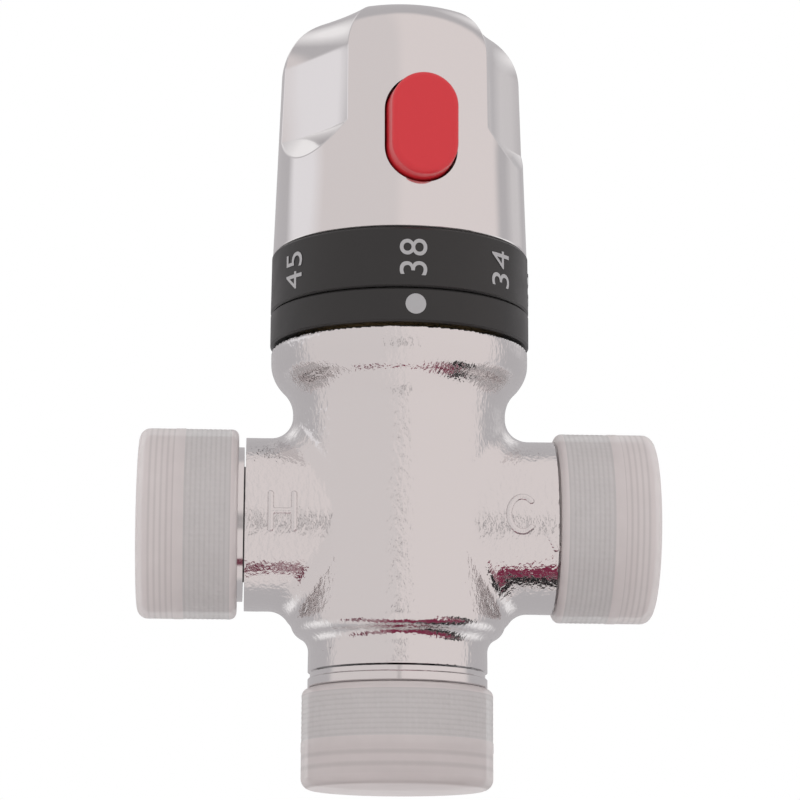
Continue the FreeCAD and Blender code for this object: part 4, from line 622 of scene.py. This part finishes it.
def cast_letters():
    """H on the hot stub, C on the cold one, and the flat trace of the gate beside the C."""
    wide, high = LETTER_HALF_WIDTH, LETTER_HALF_HEIGHT
    bars = [[(-wide, -high), (-wide, high)], [(wide, -high), (wide, high)],
            [(-wide, 0), (wide, 0)]]
    turns = [math.radians(BOW_START + BOW_SWEEP * step / BOW_STEPS)
             for step in range(BOW_STEPS + 1)]
    bow = [[(wide * BOW_WIDER * math.cos(angle), high * math.sin(angle)) for angle in turns]]
    for name, strokes, width, proud, middle in (
            ("hot_letter", bars, LETTER_STROKE, LETTER_PROUD, -LETTER_PLACE),
            ("cold_letter", bow, LETTER_STROKE, LETTER_PROUD, LETTER_PLACE),
            ("gate_mark", [GATE_ENDS], GATE_WIDTH, GATE_PROUD, GATE_PLACE)):
        mesh = stroke_mesh(name, strokes, width, on_stub(middle, width / 2 - proud))
        add_piece(name, mesh, "cast_chrome", "casting", "cast_chrome")


cast_letters()


# ---------------------------------------------------------------- marks on the rings

MARK_PROUD = 0.015 * MM
DIGIT_SIZE = 6.1 * MM
DIGIT_SPACING = 1.08
DIGIT_DEPTH = 0.01 * MM
DIGIT_STRIP = 0.5 * MM
DIGIT_HEIGHT = (number_low.z + number_high.z) / 2 - 0.15 * MM
SCALE = (("50", -102.0), ("45", -55.7), ("38", 3.8), ("34", 48.0), ("30", 92.0))  # degrees
DOT_RADIUS = 1.6 * MM
DOT_SEGMENTS = 40
DOT_ANGLE = 4.2                             # degrees, as the scale's: from the front, towards +X
DOT_HEIGHT = (index_low.z + index_high.z) / 2 + 0.1 * MM


def wrap(mesh, degrees, height, turned):
    """Bend a flat drawing round a ring; turned drawings read from bottom to top."""
    for vertex in mesh.vertices:
        across, up, out = vertex.co
        if turned:
            across, up = -up, across
        around = math.radians(degrees) + across / RING_RADIUS
        reach = RING_RADIUS + MARK_PROUD + out
        vertex.co = (reach * math.sin(around), -reach * math.cos(around), height + up)


def slice_up(mesh, step):
    """Cut a flat drawing into strips both ways, so that it can bend."""
    with editing(mesh) as work:
        spans = [(min(v.co[axis] for v in work.verts), max(v.co[axis] for v in work.verts))
                 for axis in (0, 1)]
        for axis, (low, high) in enumerate(spans):
            normal = [0, 0, 0]
            normal[axis] = 1
            for index in range(1, int((high - low) / step) + 1):
                place = [0, 0, 0]
                place[axis] = low + index * step
                everything = work.verts[:] + work.edges[:] + work.faces[:]
                bmesh.ops.bisect_plane(work, geom=everything, plane_co=place, plane_no=normal)


def ring_number(text, degrees):
    """Two digits of the scale, printed on the number ring."""
    curve = bpy.data.curves.new("scale_" + text, "FONT")
    curve.body = text
    curve.size = DIGIT_SIZE
    curve.align_x = "CENTER"
    curve.align_y = "CENTER"
    curve.space_character = DIGIT_SPACING
    curve.extrude = DIGIT_DEPTH
    mesh = baked(curve)
    slice_up(mesh, DIGIT_STRIP)
    wrap(mesh, degrees, DIGIT_HEIGHT, turned=True)
    add_piece("scale_" + text, mesh, "print_grey", "handle", "black_ring")


def index_dot():
    """The dot on the fixed ring that the scale is read against."""
    mesh = bpy.data.meshes.new("index_dot")
    with editing(mesh) as work:
        bmesh.ops.create_circle(work, cap_ends=True, radius=DOT_RADIUS, segments=DOT_SEGMENTS)
    slice_up(mesh, DOT_RADIUS / 3)
    wrap(mesh, DOT_ANGLE, DOT_HEIGHT, turned=False)
    add_piece("index_dot", mesh, "print_grey", "casting", "black_ring")


for text, degrees in SCALE:
    ring_number(text, degrees)
index_dot()


# ---------------------------------------------------------------- caps

CAP_FLOOR = (4 * MM, 8 * MM, 12 * MM)       # rings across the closed end, outside
CAP_FLOOR_INSIDE = (9 * MM, 4 * MM)
CAP_WALL_ROWS = (3 * MM, 5 * MM)
CAP_LIP = 1.1 * MM                          # rounding of the mouth, softer than the CAD's chamfer
EDGE_STEPS = 7

# fine ribs near the mouth, cut into rows, with a smooth band below them
CAP_RIBS = 96
POINTS_PER_RIB = 4
RIB_DEPTH = 0.075 * MM
RIB_LENGTH = 6.9 * MM
RIB_GAP = 0.3 * MM
RIB_STEPS = 45
RIB_FADE = 12                               # full depth is reached over a twelfth of the length
ROW_DEPTH = 0.045 * MM
BAND_LENGTH = 1.6 * MM
BAND_PROUD = 0.05 * MM
BAND_EDGE = 0.1 * MM
PLAIN, RIBBED, THREADED = range(3)          # material slots on a cap


def cap(name, place, axis):
    """A moulded cap: closed end, fine ribs near its mouth and a soft lip round the mouth.

    place takes (radius, angle, height), with the height measured up from the closed end.
    """
    angles = angles_round(CAP_RIBS * POINTS_PER_RIB)

    def ring(radius, height, ribbed=0.0):
        points = []
        for index, angle in enumerate(angles):
            wave = 0.5 + 0.5 * math.cos(2 * math.pi * index / POINTS_PER_RIB)
            points.append(place(radius - RIB_DEPTH * ribbed * (1 - wave ** 2), angle, height))
        return points

    def corner(centre_radius, centre_height, radius, first, last):
        turns = [math.radians(first + (last - first) * step / EDGE_STEPS)
                 for step in range(EDGE_STEPS + 1)]
        return [ring(centre_radius + radius * math.cos(turn),
                     centre_height + radius * math.sin(turn)) for turn in turns]

    rib_start = CAP_LENGTH - CAP_LIP - RIB_GAP - RIB_LENGTH
    band_start = rib_start - BAND_LENGTH

    rings = [ring(radius, 0.0) for radius in CAP_FLOOR]
    rings += corner(CAP_RADIUS - CAP_EDGE, CAP_EDGE, CAP_EDGE, -90, 0)
    thread_row = len(rings) - 1
    rings += [ring(CAP_RADIUS, height) for height in (*CAP_WALL_ROWS, band_start)]
    band_row = len(rings) - 1
    rings += [ring(CAP_RADIUS + BAND_PROUD, band_start + BAND_EDGE),
              ring(CAP_RADIUS + BAND_PROUD, rib_start - BAND_EDGE), ring(CAP_RADIUS, rib_start)]
    rib_row = len(rings) - 1
    for step in range(1, RIB_STEPS):
        share = step / RIB_STEPS
        row = 0.5 - 0.5 * math.cos(2 * math.pi * share * RIB_LENGTH / RIB_ROW)
        rings.append(ring(CAP_RADIUS - ROW_DEPTH * row, rib_start + RIB_LENGTH * share,
                          min(share * RIB_FADE, (1 - share) * RIB_FADE, 1)))
    lip_row = len(rings)
    rings += corner(CAP_RADIUS - CAP_LIP, CAP_LENGTH - CAP_LIP, CAP_LIP, 0, 90)
    rings += [ring(CAP_BEAD + BEAD_EDGE, CAP_LENGTH), ring(CAP_BEAD, CAP_LENGTH - BEAD_EDGE),
              ring(CAP_BEAD, CAP_LENGTH - BEAD_DEPTHS[0]),
              ring(CAP_BORE, CAP_LENGTH - BEAD_DEPTHS[1]), ring(CAP_BORE, CAP_LENGTH / 2),
              ring(CAP_BORE, CAP_WALL + CAP_INSIDE_EDGE),
              ring(CAP_BORE - CAP_INSIDE_EDGE, CAP_WALL)]
    rings += [ring(radius, CAP_WALL) for radius in CAP_FLOOR_INSIDE]

    mesh = ring_mesh(name + "_shell", rings, closed=False)
    smooth(mesh, crisp=50)
    add_piece(name + "_shell", mesh, "cap_plastic", name, "cap_plastic", name)
    # the ribbed and threaded zones take the materials with painted shade
    mesh.materials.append(finishes["cap_ribbed_" + axis])
    mesh.materials.append(finishes["cap_thread_" + axis])
    for face in mesh.polygons:
        row = min(face.vertices) // len(angles)
        if rib_row <= row < lip_row:
            face.material_index = RIBBED
        elif thread_row <= row < band_row:
            face.material_index = THREADED
        else:
            face.material_index = PLAIN


def outlet_cap_place(radius, angle, height):
    """A point about the valve axis, at a height above the outlet cap's closed end."""
    return about_outlet(radius, angle, outlet_cap_low.z + height)


def inlet_cap_place(end, side):
    """The same for an inlet's cap: end is where its closed end is, along x."""
    def place(radius, angle, height):
        return Vector((end - side * height, -radius * math.cos(angle),
                       INLET_HEIGHT + radius * math.sin(angle)))
    return place


cap("outlet_cap", outlet_cap_place, "z")
cap("hot_cap", inlet_cap_place(hot_cap_low.x, -1), "x")
cap("cold_cap", inlet_cap_place(cold_cap_high.x, 1), "x")


# ---------------------------------------------------------------- light, floor and camera

SKY_COLOR = (0.86, 0.85, 0.85, 1)
TENT_FRONT = (0.80, 0.735, 0.725)
TENT_LEFT = (0.73, 0.68, 0.675)
TENT_BACK = (0.52, 0.50, 0.51)
LEFT_TO_FRONT = (0.42, 0.52)                # where one part of the tent turns into the next,
FRONT_TO_BACK = (0.52, 0.62)                # from 0 to 1 along x and along y
BLACK, WHITE = (0, 0, 0), (1, 1, 1)

# Soft patches of the tent, each laid over those before it: the direction of the middle, how far
# it reaches along each axis, its tint, and how soft its edge is as a share of the reach.
TENT_PATCHES = [
    dict(centre=(-0.90, 0.28, 0.345), reach=(0.22, 0.38, 0.09), tint=(0.86, 0.835, 0.85),
         edge=0.3),
    dict(centre=(0.72, 0.62, 0.31), reach=(0.2, 0.22, 0.12), tint=(0.66, 0.635, 0.64),
         edge=0.5),
]
for side in (-1, 1):
    TENT_PATCHES += [
        dict(centre=(side * 0.74, 0.41, -0.54), reach=(0.28, 0.28, 0.2),
             tint=(0.98, 0.96, 0.96), edge=0.6),
        dict(centre=(side * 0.46, 0.61, 0.64), reach=(0.22, 0.22, 0.22),
             tint=(0.95, 0.93, 0.93), edge=0.6),
    ]
TENT_PATCHES += [
    dict(centre=(-0.02, -0.97, -0.2), reach=(0.08, 0.3, 0.07), tint=(0.42, 0.39, 0.39),
         edge=0.7),
    dict(centre=(-0.01, -1.0, -0.02), reach=(0.045, 0.3, 0.16), tint=(0.36, 0.34, 0.34),
         edge=0.55),
]

FLOOR_COLOR = (0.92, 0.92, 0.92)
FLOOR_ROUGHNESS = 0.7
FLOOR_REACH = 2.0
FLOOR_HOLE = CAP_RADIUS - 1.0 * MM
FLOOR_SEGMENTS = 48

# Dark strips on the table that only the chrome sees. In millimetres: two corners as (x, y), and
# how far the edges fade at the left, at the right, and at the front and back.
CARD_DROP = 1.5 * MM
MAROON = (0.20, 0.03, 0.065)
DARK = (0.02, 0.02, 0.02)
CARDS = [
    dict(name="maroon_card", low=(-24, -31), high=(58, -17), fade=(20, 12, 2), tint=MAROON),
    dict(name="hot_side_card", low=(-36, -31), high=(-10, -20), fade=(4, 8, 1.5),
         tint=(0.15, 0.03, 0.055)),
    dict(name="black_card", low=(-14, -19), high=(84, -7), fade=(24, 10, 2), tint=DARK),
    dict(name="shoulder_card", low=(34, -48), high=(56, -29), fade=(6, 4, 4), tint=MAROON),
    dict(name="cold_side_card", low=(45, -48), high=(92, -15), fade=(10, 10, 4), tint=DARK),
]

CAMERA_PLACE = Vector((-0.0221, -0.4519, -0.0356))
CAMERA_PAN = math.radians(2.82)
CAMERA_PITCH = math.radians(11.81)
CAMERA_ROLL = math.radians(0.31)
CAMERA_FOCAL = 130.05                       # millimetres, as is the sensor's width
CAMERA_SENSOR = 36.0
CAMERA_CLIP = 0.01


def ramp(tree, value, stops):
    """Colors that ease from one (position, color) stop to the next."""
    node = add_node(tree, "ValToRGB", {"Fac": value})
    node.color_ramp.interpolation = "EASE"
    elements = node.color_ramp.elements
    while len(elements) < len(stops):
        elements.new(0.5)
    for element, (position, color) in zip(elements, stops):
        element.position = position
        element.color = (*color, 1.0)
    return node.outputs["Color"]


def tent_patch(tree, direction, below, centre, reach, tint, edge):
    """A soft patch over what is below it, seen in the direction of its centre."""
    shift = add_node(tree, "VectorMath", {0: direction, 1: centre}, operation="SUBTRACT")
    shrink = add_node(tree, "VectorMath", {0: shift.outputs["Vector"], 1: reach},
                      operation="DIVIDE")
    size = add_node(tree, "VectorMath", {0: shrink.outputs["Vector"]}, operation="LENGTH")
    inside = spread(tree, size.outputs["Value"], 1.0, 0.0, 1.0 - edge, 1.0 + edge)
    return blend_colors(tree, inside, below, (*tint, 1.0))


def tent(tree):
    """The light tent's color by direction: paler in front than at the left and the back."""
    direction = add_node(tree, "TexCoord").outputs["Generated"]
    axes = add_node(tree, "SeparateXYZ", {"Vector": direction})
    along_x, along_y = [spread(tree, axes.outputs[axis], 0.0, 1.0, -1.0, 1.0)
                        for axis in ("X", "Y")]
    sides = ramp(tree, along_x, [(0.0, TENT_LEFT), (LEFT_TO_FRONT[0], TENT_LEFT),
                                 (LEFT_TO_FRONT[1], TENT_FRONT), (1.0, TENT_FRONT)])
    behind = ramp(tree, along_y, [(0.0, BLACK), (FRONT_TO_BACK[0], BLACK),
                                  (FRONT_TO_BACK[1], WHITE), (1.0, WHITE)])
    color = blend_colors(tree, behind, sides, (*TENT_BACK, 1.0))
    for patch in TENT_PATCHES:
        color = tent_patch(tree, direction, color, **patch)
    return color


def world_light():
    """The camera sees white, the chrome sees the tent, and all else is lit by an even sky."""
    world = bpy.data.worlds.new("studio")
    bpy.context.scene.world = world
    world.use_nodes = True
    tree = world.node_tree
    tree.nodes.clear()
    white, sky, reflected = [
        add_node(tree, "Background", {"Color": color}).outputs["Background"]
        for color in ((*WHITE, 1), SKY_COLOR, tent(tree))]
    rays = add_node(tree, "LightPath").outputs
    lit = add_node(tree, "MixShader", {0: rays["Is Glossy Ray"], 1: sky, 2: reflected})
    seen = add_node(tree, "MixShader", {0: rays["Is Camera Ray"], 1: lit.outputs["Shader"],
                                        2: white})
    add_node(tree, "OutputWorld", {"Surface": seen.outputs["Shader"]})


def floor():
    """A pale floor, open under the outlet cap.

    It is clear to glossy rays, and from below, because the camera stands lower than the floor.
    """
    level = outlet_cap_low.z
    mesh = bpy.data.meshes.new("floor")
    points = [(radius * math.cos(angle), radius * math.sin(angle), level)
              for radius in (FLOOR_HOLE, FLOOR_REACH) for angle in angles_round(FLOOR_SEGMENTS)]
    faces = []
    for step in range(FLOOR_SEGMENTS):
        after = (step + 1) % FLOOR_SEGMENTS
        faces.append((step, FLOOR_SEGMENTS + step, FLOOR_SEGMENTS + after, after))
    mesh.from_pydata(points, [], faces)
    thing = link_object("floor", mesh)
    made, tree, shader = material("floor", FLOOR_COLOR, FLOOR_ROUGHNESS)
    either = add_node(tree, "Math", {
        0: add_node(tree, "NewGeometry").outputs["Backfacing"],
        1: add_node(tree, "LightPath").outputs["Is Glossy Ray"]}, operation="MAXIMUM")
    clear = add_node(tree, "BsdfTransparent")
    mix = add_node(tree, "MixShader", {0: either.outputs["Value"], 1: shader.outputs["BSDF"],
                                       2: clear.outputs["BSDF"]})
    tree.links.new(mix.outputs["Shader"], tree.nodes["Material Output"].inputs["Surface"])
    mesh.materials.append(made)


def card(name, low, high, fade, tint):
    """A strip under the floor's level, seen only in the chrome, with edges that fade away."""
    left, front, right, back = [part * MM for part in (*low, *high)]
    fade_left, fade_right, fade_depth = [part * MM for part in fade]
    level = outlet_cap_low.z - CARD_DROP
    mesh = bpy.data.meshes.new(name)
    mesh.from_pydata([(left, front, level), (right, front, level), (right, back, level),
                      (left, back, level)], [], [(0, 1, 2, 3)])
    thing = link_object(name, mesh)
    made = bpy.data.materials.new(name)
    made.use_nodes = True
    tree = made.node_tree
    tree.nodes.clear()
    axes = add_node(tree, "SeparateXYZ", {"Vector": object_place(tree)}).outputs
    share, *edges = [spread(tree, axes["X"], 0.0, 1.0, left, left + fade_left),
                     spread(tree, axes["X"], 1.0, 0.0, right - fade_right, right),
                     spread(tree, axes["Y"], 0.0, 1.0, front, front + fade_depth),
                     spread(tree, axes["Y"], 1.0, 0.0, back - fade_depth, back)]
    for edge in edges:
        share = add_node(tree, "Math", {0: share, 1: edge},
                         operation="MULTIPLY").outputs["Value"]
    clear = add_node(tree, "BsdfTransparent")
    glow = add_node(tree, "Emission", {"Color": (*tint, 1.0)})
    mix = add_node(tree, "MixShader", {0: share, 1: clear.outputs["BSDF"],
                                       2: glow.outputs["Emission"]})
    add_node(tree, "OutputMaterial", {"Surface": mix.outputs["Shader"]})
    mesh.materials.append(made)
    for unseen in ("visible_camera", "visible_diffuse", "visible_transmission",
                   "visible_shadow", "visible_volume_scatter"):
        setattr(thing, unseen, False)


def camera():
    """The camera, matched to the photo by its place, pan, pitch, roll and focal length."""
    data = bpy.data.cameras.new("camera")
    data.lens = CAMERA_FOCAL
    data.sensor_width = CAMERA_SENSOR
    data.clip_start = CAMERA_CLIP
    thing = link_object("camera", data)
    forward = Vector((math.sin(CAMERA_PAN) * math.cos(CAMERA_PITCH),
                      math.cos(CAMERA_PAN) * math.cos(CAMERA_PITCH), math.sin(CAMERA_PITCH)))
    level = Vector((math.cos(CAMERA_PAN), -math.sin(CAMERA_PAN), 0))
    above = level.cross(forward)
    right = level * math.cos(CAMERA_ROLL) + above * math.sin(CAMERA_ROLL)
    up = right.cross(forward)
    turn = Matrix((right, up, -forward)).transposed()
    thing.matrix_world = Matrix.Translation(CAMERA_PLACE) @ turn.to_4x4()
    bpy.context.scene.camera = thing


world_light()
floor()
for strip in CARDS:
    card(**strip)
camera()
bpy.context.scene.view_settings.view_transform = "Standard"
